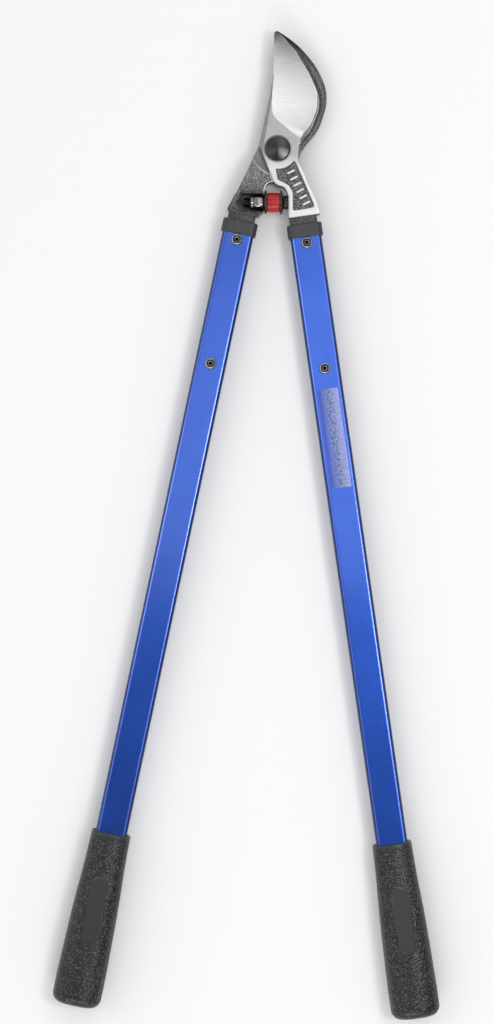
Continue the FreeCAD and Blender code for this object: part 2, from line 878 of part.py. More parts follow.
def bumper_bolt(grip_run):
    head = cylinder(bumper_head_radius, 0, bumper_head_length)
    rim = [e for e in head.Edges if e.BoundBox.ZMin > bumper_head_length / 2]
    head = head.makeFillet(bumper_head_round, rim)
    tail = -(grip_run + bumper_nut_length + bumper_bolt_tail)
    return single(head.fuse(cylinder(bumper_bolt_radius, tail, bumper_head_length / 2)))


def bumper_nut():
    # Hexagon with a round collar on its outer end
    hexagon_end = bumper_nut_length - bumper_nut_collar
    nut = hex_nut(bumper_nut_flats, -hexagon_end, 0, bumper_bolt_radius, 30)
    radius = bumper_nut_flats / 2 - nut_chamfer
    collar = turned(
        (
            (bumper_bolt_radius, -hexagon_end),
            (radius, -hexagon_end),
            (radius, -bumper_nut_length + nut_chamfer),
            (radius - nut_chamfer, -bumper_nut_length),
            (bumper_bolt_radius, -bumper_nut_length),
        )
    )
    return single(nut.fuse(collar))


def stop_pieces():
    head_x = stop_x - bumper_gap - bumper_head_length
    outer_x = head_x - bumper_washer_thickness
    inner_x = seat_x + bumper_washer_thickness
    inner = bumper_washer()
    inner.rotate(Vector(0, 0, 0), Vector(1, 0, 0), 180)
    pieces = {
        "bumper_inner_washer": along_x(inner, inner_x),
        "bumper_pad": along_x(bumper_pad(outer_x - inner_x), inner_x),
        "bumper_outer_washer": along_x(bumper_washer(), outer_x),
        "bumper_bolt": along_x(bumper_bolt(head_x - seat_x), head_x),
        "bumper_nut": along_x(bumper_nut(), seat_x),
    }
    return pieces


def handle_pieces(side, offset, angle):
    pieces = {
        side + "_tube": tube(),
        side + "_ferrule": ferrule(),
        side + "_grip": grip(),
    }
    for place, down in (("upper", upper_screw), ("lower", lower_screw)):
        for name, shape in (("screw", screw()), ("nut", small_nut())):
            shape.translate(Vector(0, -down, 0))
            pieces[side + "_" + place + "_" + name] = shape
    return {name: swing(shape, offset, angle) for name, shape in pieces.items()}


def all_pieces():
    pieces = {
        "hook_arm": hook_arm(),
        "blade_arm": blade_arm(),
        "pivot_bolt": pivot_bolt(),
        "pivot_washer": pivot_washer(),
        "pivot_nut": pivot_nut(),
        "pivot_bushing": pivot_bushing(),
        "tube_label": swing(label(), right_offset, right_angle),
    }
    pieces.update(handle_pieces("left", left_offset, left_angle))
    pieces.update(handle_pieces("right", right_offset, right_angle))
    pieces.update(stop_pieces())
    lifted = {}
    for name, shape in pieces.items():
        solid = single(shape)
        solid.translate(Vector(0, 0, rest_height))
        lifted[name] = solid
    return lifted


os.makedirs("parts", exist_ok=True)
nodes = all_pieces()
for name, shape in nodes.items():
    shape.exportStep("parts/" + name + ".step")
    print(name, len(shape.Solids), shape.isValid(), round(shape.Volume, 1))
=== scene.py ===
import math

import bmesh
import bpy
import numpy as np
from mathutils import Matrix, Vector


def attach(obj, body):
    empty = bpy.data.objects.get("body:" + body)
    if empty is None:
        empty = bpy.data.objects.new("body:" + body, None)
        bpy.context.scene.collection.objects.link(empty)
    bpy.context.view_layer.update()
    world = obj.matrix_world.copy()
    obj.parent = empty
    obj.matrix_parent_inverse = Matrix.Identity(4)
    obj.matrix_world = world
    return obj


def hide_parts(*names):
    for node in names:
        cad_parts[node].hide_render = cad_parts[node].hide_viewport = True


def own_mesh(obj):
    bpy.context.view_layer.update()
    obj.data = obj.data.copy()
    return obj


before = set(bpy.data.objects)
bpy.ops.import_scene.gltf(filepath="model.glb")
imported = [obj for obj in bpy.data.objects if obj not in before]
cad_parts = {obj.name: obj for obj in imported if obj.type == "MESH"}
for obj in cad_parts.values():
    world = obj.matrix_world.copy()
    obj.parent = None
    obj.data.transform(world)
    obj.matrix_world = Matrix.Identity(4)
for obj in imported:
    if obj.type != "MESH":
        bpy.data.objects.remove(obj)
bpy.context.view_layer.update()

# A pair of long loppers on a pale table, seen from straight above.
# Shapes are worked out in millimetres, in the frame's own axes, and become metres in the mesh
mm = 0.001
tiny = 1e-9
restHeight = 17.0  # the plane where the blade and the hook meet
weldGap = 0.004  # points closer than this become one

# How far each handle swings from straight down, in degrees, and its place across before that
handles = {
    "left": {"angle": -11.95, "offset": -17.4, "body": "hook_side"},
    "right": {"angle": 8.08, "offset": 12.9, "body": "blade_side"},
}

print("stage: camera and light")

viewSettings = {
    "centreX": -25.6,
    "centreY": -299.0,
    "height": 2200.0,
    "frameHeight": 845.2,
    "sensor": 36.0,
}


def makeCamera(s):
    cameraData = bpy.data.cameras.new("camera")
    cameraData.sensor_width = s["sensor"]
    cameraData.lens = s["sensor"] * s["height"] / s["frameHeight"]
    cameraData.clip_end = 20.0
    camera = bpy.data.objects.new("camera", cameraData)
    bpy.context.scene.collection.objects.link(camera)
    camera.location = (s["centreX"] * mm, s["centreY"] * mm, (s["height"] + restHeight) * mm)
    bpy.context.scene.camera = camera


makeCamera(viewSettings)

# Each light: place and target in metres, size in metres, power in watts
studioLights = {
    "keySoftbox": ((0.90, -0.40, 2.10), (0.0, -0.1, 0.0), (0.42, 0.46), 9.5),
    "overheadPanel": ((0.05, -0.14, 3.00), (0.05, -0.14, 0.0), (0.95, 0.62), 3.4),
    "rightPanel": ((0.95, 1.35, 3.00), (0.95, 1.35, 0.0), (1.10, 3.90), 15.0),
    "bandPanel": ((0.58, 1.35, 2.98), (0.58, 1.35, 0.0), (0.50, 3.90), 3.7),
    "stopPanel": ((0.00, 0.30, 3.00), (0.00, 0.30, 0.0), (0.40, 0.12), 0.5),
    "leftSoftbox": ((-1.25, -0.10, 1.90), (0.0, -0.25, 0.0), (0.30, 2.00), 4.5),
    "frontSoftbox": ((0.0, -2.40, 1.60), (0.0, -0.3, 0.0), (1.60, 0.50), 13.0),
    "backSoftbox": ((0.10, 1.80, 1.60), (0.0, 0.0, 0.0), (1.40, 0.40), 2.0),
}


def areaLight(name, place, target, size, power):
    lightData = bpy.data.lights.new(name, "AREA")
    lightData.shape = "RECTANGLE"
    lightData.size = size[0]
    lightData.size_y = size[1]
    lightData.energy = power
    light = bpy.data.objects.new(name, lightData)
    light.location = place
    toward = Vector(target) - Vector(place)
    if toward.xy.length > tiny:
        light.rotation_euler = toward.to_track_quat("-Z", "Y").to_euler()
    bpy.context.scene.collection.objects.link(light)


for lightName, (place, target, lightSize, power) in studioLights.items():
    areaLight(lightName, place, target, lightSize, power)

bpy.context.scene.view_settings.view_transform = "Standard"

print("stage: room and materials")


def plainMaterial(name, colour, roughness, metallic=0.0):
    material = bpy.data.materials.new(name)
    material.use_nodes = True
    shader = material.node_tree.nodes["Principled BSDF"]
    shader.inputs["Base Color"].default_value = (*colour, 1)
    shader.inputs["Roughness"].default_value = roughness
    shader.inputs["Metallic"].default_value = metallic
    return material, shader


def objectNoise(material, scale, detail=3.0, stretch=(1, 1, 1), turn=0.0):
    # A noise on the object's own coordinates, scale in waves per metre
    nodes, links = material.node_tree.nodes, material.node_tree.links
    coordinate = nodes.new("ShaderNodeTexCoord")
    mapping = nodes.new("ShaderNodeMapping")
    mapping.inputs["Scale"].default_value = stretch
    mapping.inputs["Rotation"].default_value = (0, 0, math.radians(turn))
    noise = nodes.new("ShaderNodeTexNoise")
    noise.inputs["Scale"].default_value = scale
    noise.inputs["Detail"].default_value = detail
    links.new(coordinate.outputs["Object"], mapping.inputs["Vector"])
    links.new(mapping.outputs["Vector"], noise.inputs["Vector"])
    return noise.outputs[0]


def alongObject(material, axis, low, high, turn=0.0):
    # 0 to 1 as the object's own axis goes from low to high, in millimetres
    nodes, links = material.node_tree.nodes, material.node_tree.links
    coordinate = nodes.new("ShaderNodeTexCoord")
    mapping = nodes.new("ShaderNodeMapping")
    mapping.inputs["Rotation"].default_value = (0, 0, math.radians(turn))
    split = nodes.new("ShaderNodeSeparateXYZ")
    spread = nodes.new("ShaderNodeMapRange")
    spread.inputs["From Min"].default_value = low * mm
    spread.inputs["From Max"].default_value = high * mm
    links.new(coordinate.outputs["Object"], mapping.inputs["Vector"])
    links.new(mapping.outputs["Vector"], split.inputs["Vector"])
    links.new(split.outputs[axis], spread.inputs["Value"])
    return spread.outputs["Result"]


def tilt(material):
    # How far the surface itself faces up or down: 1 for level, 0 for upright
    nodes, links = material.node_tree.nodes, material.node_tree.links
    coordinate = nodes.new("ShaderNodeTexCoord")
    split = nodes.new("ShaderNodeSeparateXYZ")
    size = nodes.new("ShaderNodeMath")
    size.operation = "ABSOLUTE"
    links.new(coordinate.outputs["Normal"], split.inputs["Vector"])
    links.new(split.outputs["Z"], size.inputs[0])
    return size.outputs["Value"]


def meshValue(material, name):
    # A value that the mesh carries at each point
    attribute = material.node_tree.nodes.new("ShaderNodeAttribute")
    attribute.attribute_name = name
    return attribute.outputs["Fac"]


def colourRamp(material, factor, stops):
    # stops: place and grey or colour
    nodes, links = material.node_tree.nodes, material.node_tree.links
    ramp = nodes.new("ShaderNodeValToRGB")
    links.new(factor, ramp.inputs["Fac"])
    elements = ramp.color_ramp.elements
    while len(elements) < len(stops):
        elements.new(0.5)
    for element, (at, colour) in zip(elements, stops):
        element.position = at
        if isinstance(colour, float):
            colour = (colour, colour, colour)
        element.color = (*colour, 1)
    return ramp.outputs["Color"]


def blended(material, factor, first, second, kind="MIX"):
    nodes, links = material.node_tree.nodes, material.node_tree.links
    mix = nodes.new("ShaderNodeMix")
    mix.data_type = "RGBA"
    mix.blend_type = kind
    for socket, value in ((mix.inputs[0], factor), (mix.inputs[6], first), (mix.inputs[7], second)):
        if isinstance(value, bpy.types.NodeSocket):
            links.new(value, socket)
        else:
            socket.default_value = value
    return mix.outputs[2]


def shaded(material, tone, factor, stops):
    # The tone times a ramp of greys or colours
    return blended(material, 1.0, tone, colourRamp(material, factor, stops), "MULTIPLY")


def addBump(material, shader, height, strength, distance):
    # distance in millimetres; bumps are chained, coarse after fine
    nodes, links = material.node_tree.nodes, material.node_tree.links
    bump = nodes.new("ShaderNodeBump")
    bump.inputs["Strength"].default_value = strength
    bump.inputs["Distance"].default_value = distance * mm
    links.new(height, bump.inputs["Height"])
    if shader.inputs["Normal"].is_linked:
        links.new(shader.inputs["Normal"].links[0].from_socket, bump.inputs["Normal"])
    links.new(bump.outputs["Normal"], shader.inputs["Normal"])


def linkRoughness(material, shader, factor, low, high):
    nodes, links = material.node_tree.nodes, material.node_tree.links
    spread = nodes.new("ShaderNodeMapRange")
    spread.inputs["To Min"].default_value = low
    spread.inputs["To Max"].default_value = high
    links.new(factor, spread.inputs["Value"])
    links.new(spread.outputs["Result"], shader.inputs["Roughness"])


def setColour(material, shader, socket):
    material.node_tree.links.new(socket, shader.inputs["Base Color"])


# The room's white walls are lighter than its ceiling, and its right wall is darker: each a share of
# the direction upwards or to the right, and the brightness there
roomLight = ((0.0, 0.66), (0.50, 0.80), (0.80, 0.62), (0.92, 0.36), (0.98, 0.22))
roomRight = ((0.36, 1.0), (0.52, 0.50))


def makeRoom(heightStops, rightStops):
    world = bpy.data.worlds.new("room")
    bpy.context.scene.world = world
    world.use_nodes = True
    nodes, links = world.node_tree.nodes, world.node_tree.links
    direction = nodes.new("ShaderNodeTexCoord")
    split = nodes.new("ShaderNodeSeparateXYZ")
    links.new(direction.outputs["Generated"], split.inputs["Vector"])
    upward = colourRamp(world, split.outputs["Z"], heightStops)
    light = shaded(world, upward, split.outputs["X"], rightStops)
    links.new(light, nodes["Background"].inputs["Color"])


makeRoom(roomLight, roomRight)


def makeGroundSteel(name, dark, light, roughness, hub=None):
    # Surface-ground steel: satin, with a fine even grain; hub gives painted shade, darker towards the
    # pivot's hub between two heights
    material, shader = plainMaterial(name, light, roughness, 1.0)
    grain = objectNoise(material, 2600, 4)
    cloud = objectNoise(material, 90, 3)
    tone = colourRamp(material, grain, ((0.32, dark), (0.66, light)))
    tone = shaded(material, tone, cloud, ((0.3, 0.92), (0.7, 1.0)))
    if hub:
        # Painted shade: the tone falls to the given share towards the hub
        share, low, high = hub
        tone = shaded(material, tone, alongObject(material, "Y", low, high), ((0.0, 1.0), (1.0, share)))
    setColour(material, shader, tone)
    linkRoughness(material, shader, grain, roughness - 0.06, roughness + 0.10)
    addBump(material, shader, grain, 0.25, 0.03)
    return material


def makeGrindSteel():
    # The blade's polished face, with faint grinding lines across it, and painted shade that darkens it
    # towards the tip
    material, shader = plainMaterial("grindSteel", (0.58, 0.58, 0.595), 0.26, 1.0)
    lines = objectNoise(material, 1, 3, (60, 2600, 60), 8)
    cloud = objectNoise(material, 45, 2)
    tone = colourRamp(material, lines, ((0.3, (0.54, 0.54, 0.555)), (0.7, (0.62, 0.62, 0.635))))
    tone = shaded(material, tone, cloud, ((0.3, 0.95), (0.7, 1.0)))
    # Painted shade: the tone falls to 0.46 of itself between these heights
    tipStart, tipEnd = 74, 96  # mm up the blade
    tipShade = alongObject(material, "Y", tipStart, tipEnd)
    setColour(material, shader, shaded(material, tone, tipShade, ((0.0, 1.0), (1.0, 0.46))))
    linkRoughness(material, shader, lines, 0.22, 0.32)
    addBump(material, shader, lines, 0.06, 0.02)
    return material


def makeBevelSteel():
    # The bevel along the spine: darker, ground along its length
    material, shader = plainMaterial("bevelSteel", (0.3, 0.3, 0.31), 0.42, 1.0)
    lines = objectNoise(material, 1, 3, (1900, 90, 1900))
    setColour(material, shader, colourRamp(material, lines, ((0.3, 0.24), (0.7, 0.40))))
    addBump(material, shader, lines, 0.2, 0.04)
    return material


def makeCastSkin(name, dark, light, gloss, fade=None):
    # Forging scale under a dark finish: small hammered grains with fine pits, their crowns painted lighter
    # as a painted highlight over the grain's own tone.
    # fade: painted shade, the share of its tone that is left at a first height, and the height where all of
    # it is
    material, shader = plainMaterial(name, dark, gloss, 0.75)
    pits = objectNoise(material, 3200, 3)
    grain = objectNoise(material, 950, 2)
    cells = objectNoise(material, 80, 2)
    # Partly the grain's own tone, partly a painted highlight on the bumped crowns
    grainToneAndSparkle = colourRamp(material, grain, ((0.42, dark), (0.66, light)))
    tone = shaded(material, grainToneAndSparkle, cells, ((0.3, 0.80), (0.7, 1.0)))
    # Painted shade: the tone darkens towards the first height
    if fade:
        share, low, high = fade
        tone = shaded(material, tone, alongObject(material, "Y", low, high), ((0.0, share), (1.0, 1.0)))
    setColour(material, shader, tone)
    linkRoughness(material, shader, pits, gloss - 0.10, gloss + 0.12)
    addBump(material, shader, pits, 0.35, 0.06)
    addBump(material, shader, grain, 0.9, 0.35)
    return material


def makeTurnedOxide():
    # The pivot's head: dark oxide over turning marks, which stretch the reflections outwards
    material, shader = plainMaterial("turnedOxide", (0.05, 0.05, 0.055), 0.25, 1.0)
    shader.inputs["Anisotropic"].default_value = 0.85
    nodes, links = material.node_tree.nodes, material.node_tree.links
    tangent = nodes.new("ShaderNodeTangent")
    tangent.direction_type = "RADIAL"
    tangent.axis = "Z"
    links.new(tangent.outputs["Tangent"], shader.inputs["Tangent"])
    grain = objectNoise(material, 1600, 3)
    setColour(material, shader, colourRamp(material, grain, ((0.35, 0.048), (0.70, 0.098))))
    addBump(material, shader, grain, 0.08, 0.03)
    return material


def makeMetal(name, dark, light, roughness, scale=1300, bump=0.15):
    # A plated or blackened steel with a fine mottle
    material, shader = plainMaterial(name, light, roughness, 1.0)
    grain = objectNoise(material, scale, 3)
    setColour(material, shader, colourRamp(material, grain, ((0.35, dark), (0.68, light))))
    linkRoughness(material, shader, grain, roughness * 0.85, roughness * 1.25)
    addBump(material, shader, grain, bump, 0.04)
    return material


def makeBlueTube():
    # Blue lacquer over drawn aluminium with a soft flake; painted shade darkens the rounded sides and a
    # painted highlight runs thin along their crests
    material, shader = plainMaterial("blueTube", (0.03, 0.09, 0.55), 0.26, 0.85)
    flake = objectNoise(material, 2600, 2)
    cloud = objectNoise(material, 22, 3)
    level = tilt(material)
    tone = colourRamp(material, cloud, ((0.30, (0.010, 0.074, 0.46)), (0.72, (0.016, 0.096, 0.55))))
    tone = shaded(material, tone, flake, ((0.45, 0.90), (0.75, 1.0)))
    # Painted highlight: a pale line where the rounded edge tilts a little from level
    edgeHighlight = colourRamp(material, level, ((0.90, 0.0), (0.955, 0.75), (0.985, 0.1), (1.0, 0.0)))
    tone = blended(material, edgeHighlight, tone, (0.26, 0.36, 0.95, 1))
    # Painted shade: darker where the surface turns upright
    tone = shaded(material, tone, level, ((0.62, (0.12, 0.12, 0.17)), (0.93, 1.0)))
    setColour(material, shader, tone)
    linkRoughness(material, shader, cloud, 0.23, 0.31)
    shader.inputs["Coat Weight"].default_value = 0.7
    shader.inputs["Coat Roughness"].default_value = 0.12
    addBump(material, shader, flake, 0.06, 0.02)
    return material


def makePlastic(name, dark, light, roughness, scale, bump, depth):
    material, shader = plainMaterial(name, dark, roughness)
    grain = objectNoise(material, scale, 4)
    cloud = objectNoise(material, 70, 2)
    tone = colourRamp(material, grain, ((0.35, dark), (0.70, light)))
    setColour(material, shader, shaded(material, tone, cloud, ((0.3, 0.85), (0.7, 1.0))))
    linkRoughness(material, shader, cloud, roughness * 0.9, roughness * 1.15)
    addBump(material, shader, grain, bump, depth)
    return material


def makeGripVinyl():
    # Black vinyl: the mesh's own pebbles carry painted light, a painted highlight on their crowns and
    # painted shade between them
    material, shader = plainMaterial("gripVinyl", (0.03, 0.03, 0.033), 0.36)
    grain = objectNoise(material, 1500, 4)
    crownShadeStops = ((0.0, (0.004, 0.004, 0.005)), (0.40, (0.018, 0.018, 0.020)), (1.0, (0.155, 0.155, 0.160)))
    tone = colourRamp(material, meshValue(material, "crown"), crownShadeStops)
    setColour(material, shader, shaded(material, tone, grain, ((0.35, 0.75), (0.65, 1.0))))
    addBump(material, shader, grain, 0.25, 0.08)
    return material


def makeLabelFilm(turn, middle, width):
    # A worn clear film: deep blue at its left, paling to lavender at its right as a painted sheen, and a run
    # of grey smudges down its middle. turn and middle lay its own X across the handle, in degrees and
    # millimetres
    material, shader = plainMaterial("labelFilm", (0.3, 0.35, 0.75), 0.4)
    specks = objectNoise(material, 620, 3)
    fine = objectNoise(material, 1, 4, (700, 420, 1), turn)
    across = alongObject(material, "X", middle - width / 2, middle + width / 2, turn)
    blues = (
        (0.06, (0.035, 0.085, 0.55)),
        (0.35, (0.16, 0.25, 0.66)),
        (0.62, (0.30, 0.36, 0.74)),
        (0.95, (0.36, 0.38, 0.82)),
    )
    bluesAndSheen = shaded(material, colourRamp(material, across, blues), specks, ((0.38, 0.72), (0.62, 1.0)))
    band = colourRamp(material, across, ((0.22, 0.0), (0.42, 1.0), (0.60, 1.0), (0.80, 0.0)))
    smudge = shaded(material, band, fine, ((0.46, 0.0), (0.60, 1.0)))
    setColour(material, shader, blended(material, smudge, bluesAndSheen, (0.075, 0.10, 0.17, 1)))
    addBump(material, shader, specks, 0.3, 0.06)
    return material


# The ground steel carries painted shade, darker towards the blade arm's hub
groundSteel = makeGroundSteel("groundSteel", (0.62, 0.62, 0.63), (0.76, 0.76, 0.77), 0.40, (0.62, -17, -4))
grindSteel = makeGrindSteel()
bevelSteel = makeBevelSteel()
# Painted shade on the cast skin: darker down the hook arm towards its foot and the left tang
castSkin = makeCastSkin("castSkin", (0.085, 0.085, 0.092), (0.37, 0.37, 0.385), 0.36, (0.40, -50, -22))
panelSkin = makeCastSkin("panelSkin", (0.050, 0.050, 0.053), (0.25, 0.25, 0.255), 0.38)
# Painted shade on the hook's skin: darker towards its tip beside the blade
hookSkin = makeCastSkin("hookSkin", (0.10, 0.10, 0.104), (0.36, 0.36, 0.365), 0.36, (0.16, 88, 60))
# A darker copy of the cast skin, painted shade: round the pocket, along the hook arm's lower rim, on the
# hook's inner flank and on the blade arm's tang
shadedCastSkin = makeCastSkin("shadedCastSkin", (0.045, 0.044, 0.045), (0.16, 0.157, 0.16), 0.42)
wallSteel = makePlastic("wallSteel", (0.13, 0.13, 0.135), (0.24, 0.24, 0.245), 0.62, 900, 0.4, 0.12)
scaleSteel = makeGroundSteel("scaleSteel", (0.16, 0.16, 0.165), (0.27, 0.27, 0.275), 0.46)
turnedOxide = makeTurnedOxide()
blackSteel = makeMetal("blackSteel", (0.020, 0.020, 0.021), (0.065, 0.063, 0.062), 0.34)
washerSteel = makeMetal("washerSteel", (0.040, 0.032, 0.030), (0.130, 0.108, 0.102), 0.32)
darkChrome = makeMetal("darkChrome", (0.20, 0.185, 0.185), (0.36, 0.335, 0.335), 0.20, 1300, 0.08)
zincSteel = makeMetal("zincSteel", (0.42, 0.43, 0.45), (0.62, 0.63, 0.66), 0.34, 700)
# A bright copy of the screw steel: the painted highlight rings on the screw heads
screwHighlight = makeMetal("screwHighlight", (0.45, 0.47, 0.44), (0.70, 0.72, 0.68), 0.26)
screwBlack = makeMetal("screwBlack", (0.012, 0.014, 0.020), (0.045, 0.050, 0.060), 0.30)
# A darker copy of the screw black: painted shade inside the sockets
socketShade = makeMetal("socketShade", (0.004, 0.004, 0.004), (0.012, 0.012, 0.013), 0.4)
bronze = makeMetal("bronze", (0.42, 0.26, 0.12), (0.58, 0.38, 0.18), 0.36, 900)
blueTube = makeBlueTube()
ferrulePlastic = makePlastic(
    "ferrulePlastic", (0.032, 0.032, 0.035), (0.046, 0.046, 0.051), 0.42, 1500, 0.2, 0.05
)
gripVinyl = makeGripVinyl()
redUrethane = makePlastic("redUrethane", (0.40, 0.003, 0.007), (0.50, 0.006, 0.011), 0.28, 500, 0.08, 0.05)
labelFilm = makeLabelFilm(-handles["right"]["angle"], handles["right"]["offset"], 17.0)

print("stage: helpers for shapes")


def smoothCurve(rows, count):
    # A natural cubic spline through the rows, by chord length: columns may be any numbers
    rows = np.asarray(rows, float)
    spans = np.sqrt((np.diff(rows[:, :2], axis=0) ** 2).sum(axis=1))
    at = np.concatenate(([0], np.cumsum(spans)))
    size = len(rows)
    matrix = np.eye(size)
    pull = np.zeros_like(rows)
    for i in range(1, size - 1):
        matrix[i, i - 1 : i + 2] = spans[i - 1], 2 * (spans[i - 1] + spans[i]), spans[i]
        pull[i] = 6 * ((rows[i + 1] - rows[i]) / spans[i] - (rows[i] - rows[i - 1]) / spans[i - 1])
    bend = np.linalg.solve(matrix, pull)
    along = np.linspace(0, at[-1], count)
    k = np.clip(np.searchsorted(at, along, "right") - 1, 0, size - 2)
    before = ((at[k + 1] - along) / spans[k])[:, None]
    after = ((along - at[k]) / spans[k])[:, None]
    square = (spans[k] ** 2)[:, None] / 6
    cubic = ((before**3 - before) * bend[k] + (after**3 - after) * bend[k + 1]) * square
    return before * rows[k] + after * rows[k + 1] + cubic


def softened(corners, radius, steps=5):
    # Each inner corner B becomes the curve (1-t)^2 A + 2t(1-t) B + t^2 C, A and C a radius away
    corners = np.asarray(corners, float)
    t = np.linspace(0, 1, steps)[:, None]
    rows = [corners[:1]]
    for before, corner, after in zip(corners, corners[1:], corners[2:]):
        back = np.linalg.norm((before - corner)[-2:]) + tiny
        ahead = np.linalg.norm((after - corner)[-2:]) + tiny
        a = corner + (before - corner) * min(radius / back, 0.45)
        c = corner + (after - corner) * min(radius / ahead, 0.45)
        rows.append((1 - t) ** 2 * a + 2 * t * (1 - t) * corner + t**2 * c)
    rows.append(corners[-1:])
    return np.vstack(rows)


def gridFaces(rows, columns, closeRows=False, start=0):
    # Quads of a grid whose columns close into a ring, and its rows too when asked
    index = np.arange(rows * columns).reshape(rows, columns) + start
    if closeRows:
        index = np.vstack((index, index[:1]))
    side = np.roll(index, -1, axis=1)
    quads = np.stack((index[:-1], index[1:], side[1:], side[:-1]), axis=-1)
    return quads.reshape(-1, 4)


def latticeNoise(x, y, cell, seed):
    # Smooth noise from -1 to 1: random values on a square lattice, eased between its corners
    table = np.random.default_rng(seed).uniform(-1, 1, (128, 128))
    u, v = x / cell, y / cell
    i, j = np.floor(u).astype(int), np.floor(v).astype(int)
    a, b = u - i, v - j
    a, b = a * a * (3 - 2 * a), b * b * (3 - 2 * b)
    low = table[i % 128, j % 128] * (1 - a) + table[(i + 1) % 128, j % 128] * a
    high = table[i % 128, (j + 1) % 128] * (1 - a) + table[(i + 1) % 128, (j + 1) % 128] * a
    return low * (1 - b) + high * b


def addPiece(name, body, nodes, points, faces, materials, picks=None, sharp=34.0, crown=None):
    # A mesh object from points in mm and blocks of faces; picks gives each face its material
    mesh = bpy.data.meshes.new(name)
    mesh.from_pydata((np.asarray(points) * mm).tolist(), [], [f for block in faces for f in block.tolist()])
    for material in materials:
        mesh.materials.append(material)
    if picks is not None:
        mesh.polygons.foreach_set("material_index", np.asarray(picks, np.int32))
    # crown: painted light at each point, a painted highlight on pebble crowns and painted shade between them
    if crown is not None:
        crownLight = mesh.attributes.new("crown", "FLOAT", "POINT")
        crownLight.data.foreach_set("value", np.asarray(crown, np.float32))
    work = bmesh.new()
    work.from_mesh(mesh)
    bmesh.ops.remove_doubles(work, verts=work.verts, dist=weldGap * mm)
    bmesh.ops.dissolve_degenerate(work, edges=work.edges, dist=weldGap * mm)
    bmesh.ops.recalc_face_normals(work, faces=work.faces)
    work.to_mesh(mesh)
    work.free()
    mesh.shade_smooth()
    mesh.set_sharp_from_angle(angle=math.radians(sharp))
    piece = bpy.data.objects.new(name, mesh)
    bpy.context.scene.collection.objects.link(piece)
    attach(piece, body)
    if nodes:
        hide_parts(*nodes)
    print("piece", name, len(mesh.polygons))
    return piece


def alongHandle(points, side):
    # From (across, -down, height) beside the pivot to the swung handle: shift, then turn
    s = handles[side]
    turn = math.radians(s["angle"])
    x = points[:, 0] + s["offset"]
    y = points[:, 1]
    swung = (x * math.cos(turn) - y * math.sin(turn), x * math.sin(turn) + y * math.cos(turn))
    return np.stack((*swung, points[:, 2] + restHeight), axis=1)


print("stage: turned pieces")


def hexFactor(angle):
    # How far a hexagon reaches at an angle, as a share of half its width across flats
    return 1 / np.cos((angle + math.pi / 6) % (math.pi / 3) - math.pi / 6)


def turnedGrid(rows, columns=72, turn=0.0, thread=None, closeRows=False):
    # Rings about Z. Row: flats, cap, height. Radius = min(flats * hexFactor, cap), so a row whose
    # flats equal its cap is round. A thread lowers the radius by a sawtooth along a helix
    rows = np.asarray(rows, float)
    angle = np.linspace(0, 2 * math.pi, columns, endpoint=False)
    radius = np.minimum(rows[:, :1] * hexFactor(angle + math.radians(turn)), rows[:, 1:2])
    height = np.repeat(rows[:, 2:], columns, axis=1)
    if thread:
        wave = np.abs((height / thread["pitch"] - angle / (2 * math.pi)) % 1 - 0.5) * 2
        inside = np.clip((height - thread["low"]) / thread["pitch"], 0, 1)
        inside = inside * np.clip((thread["high"] - height) / thread["pitch"], 0, 1)
        radius = radius - thread["depth"] * wave * inside * (radius > thread["least"])
    points = np.stack((radius * np.cos(angle), radius * np.sin(angle), height), axis=-1)
    return points.reshape(-1, 3), gridFaces(len(rows), columns, closeRows)


def roundProfile(profile):
    # Rows for round rings from (radius, height) points
    return profile[:, [0, 0, 1]]


def roundRows(corners, radius, steps=5):
    return roundProfile(softened(corners, radius, steps))


def closedRing(corners, radius):
    # Rows round a ring's section, from the middle of its bore and back to it
    middle = (corners[0][0], (corners[0][1] + corners[-1][1]) / 2)
    return roundRows((middle, *corners, middle), radius)[:-1]


def threadOf(radius, pitch, low, high, depth):
    # A thread for turnedGrid, cut only into rings of nearly its radius
    return {"pitch": pitch, "low": low, "high": high, "depth": depth, "least": radius - 0.1}


def shaft(radius, low, high, step):
    # Close rows along a threaded shank
    heights = np.arange(low, high, step if high > low else -step)
    return np.stack((np.full(len(heights), radius), np.full(len(heights), radius), heights), axis=1)


pivot = {
    "shank": 6.0,
    "head": 10.5,
    "rim": 1.0,
    "crown": 2.6,
    "mark": 0.9,
    "seat": 23.45,
    "washer": 11.5,
    "washerTop": 10.0,
    "washerThickness": 2.0,
    "nutFlats": 9.0,
    "nutHeight": 6.0,
    "pitch": 1.75,
    "threadEnd": 11.0,
    "threadDepth": 0.9,
    "tailChamfer": 0.8,
    "headSoft": 0.35,
    "tailSoft": 0.2,
    "washerSoft": 0.3,
    "columns": 96,
}


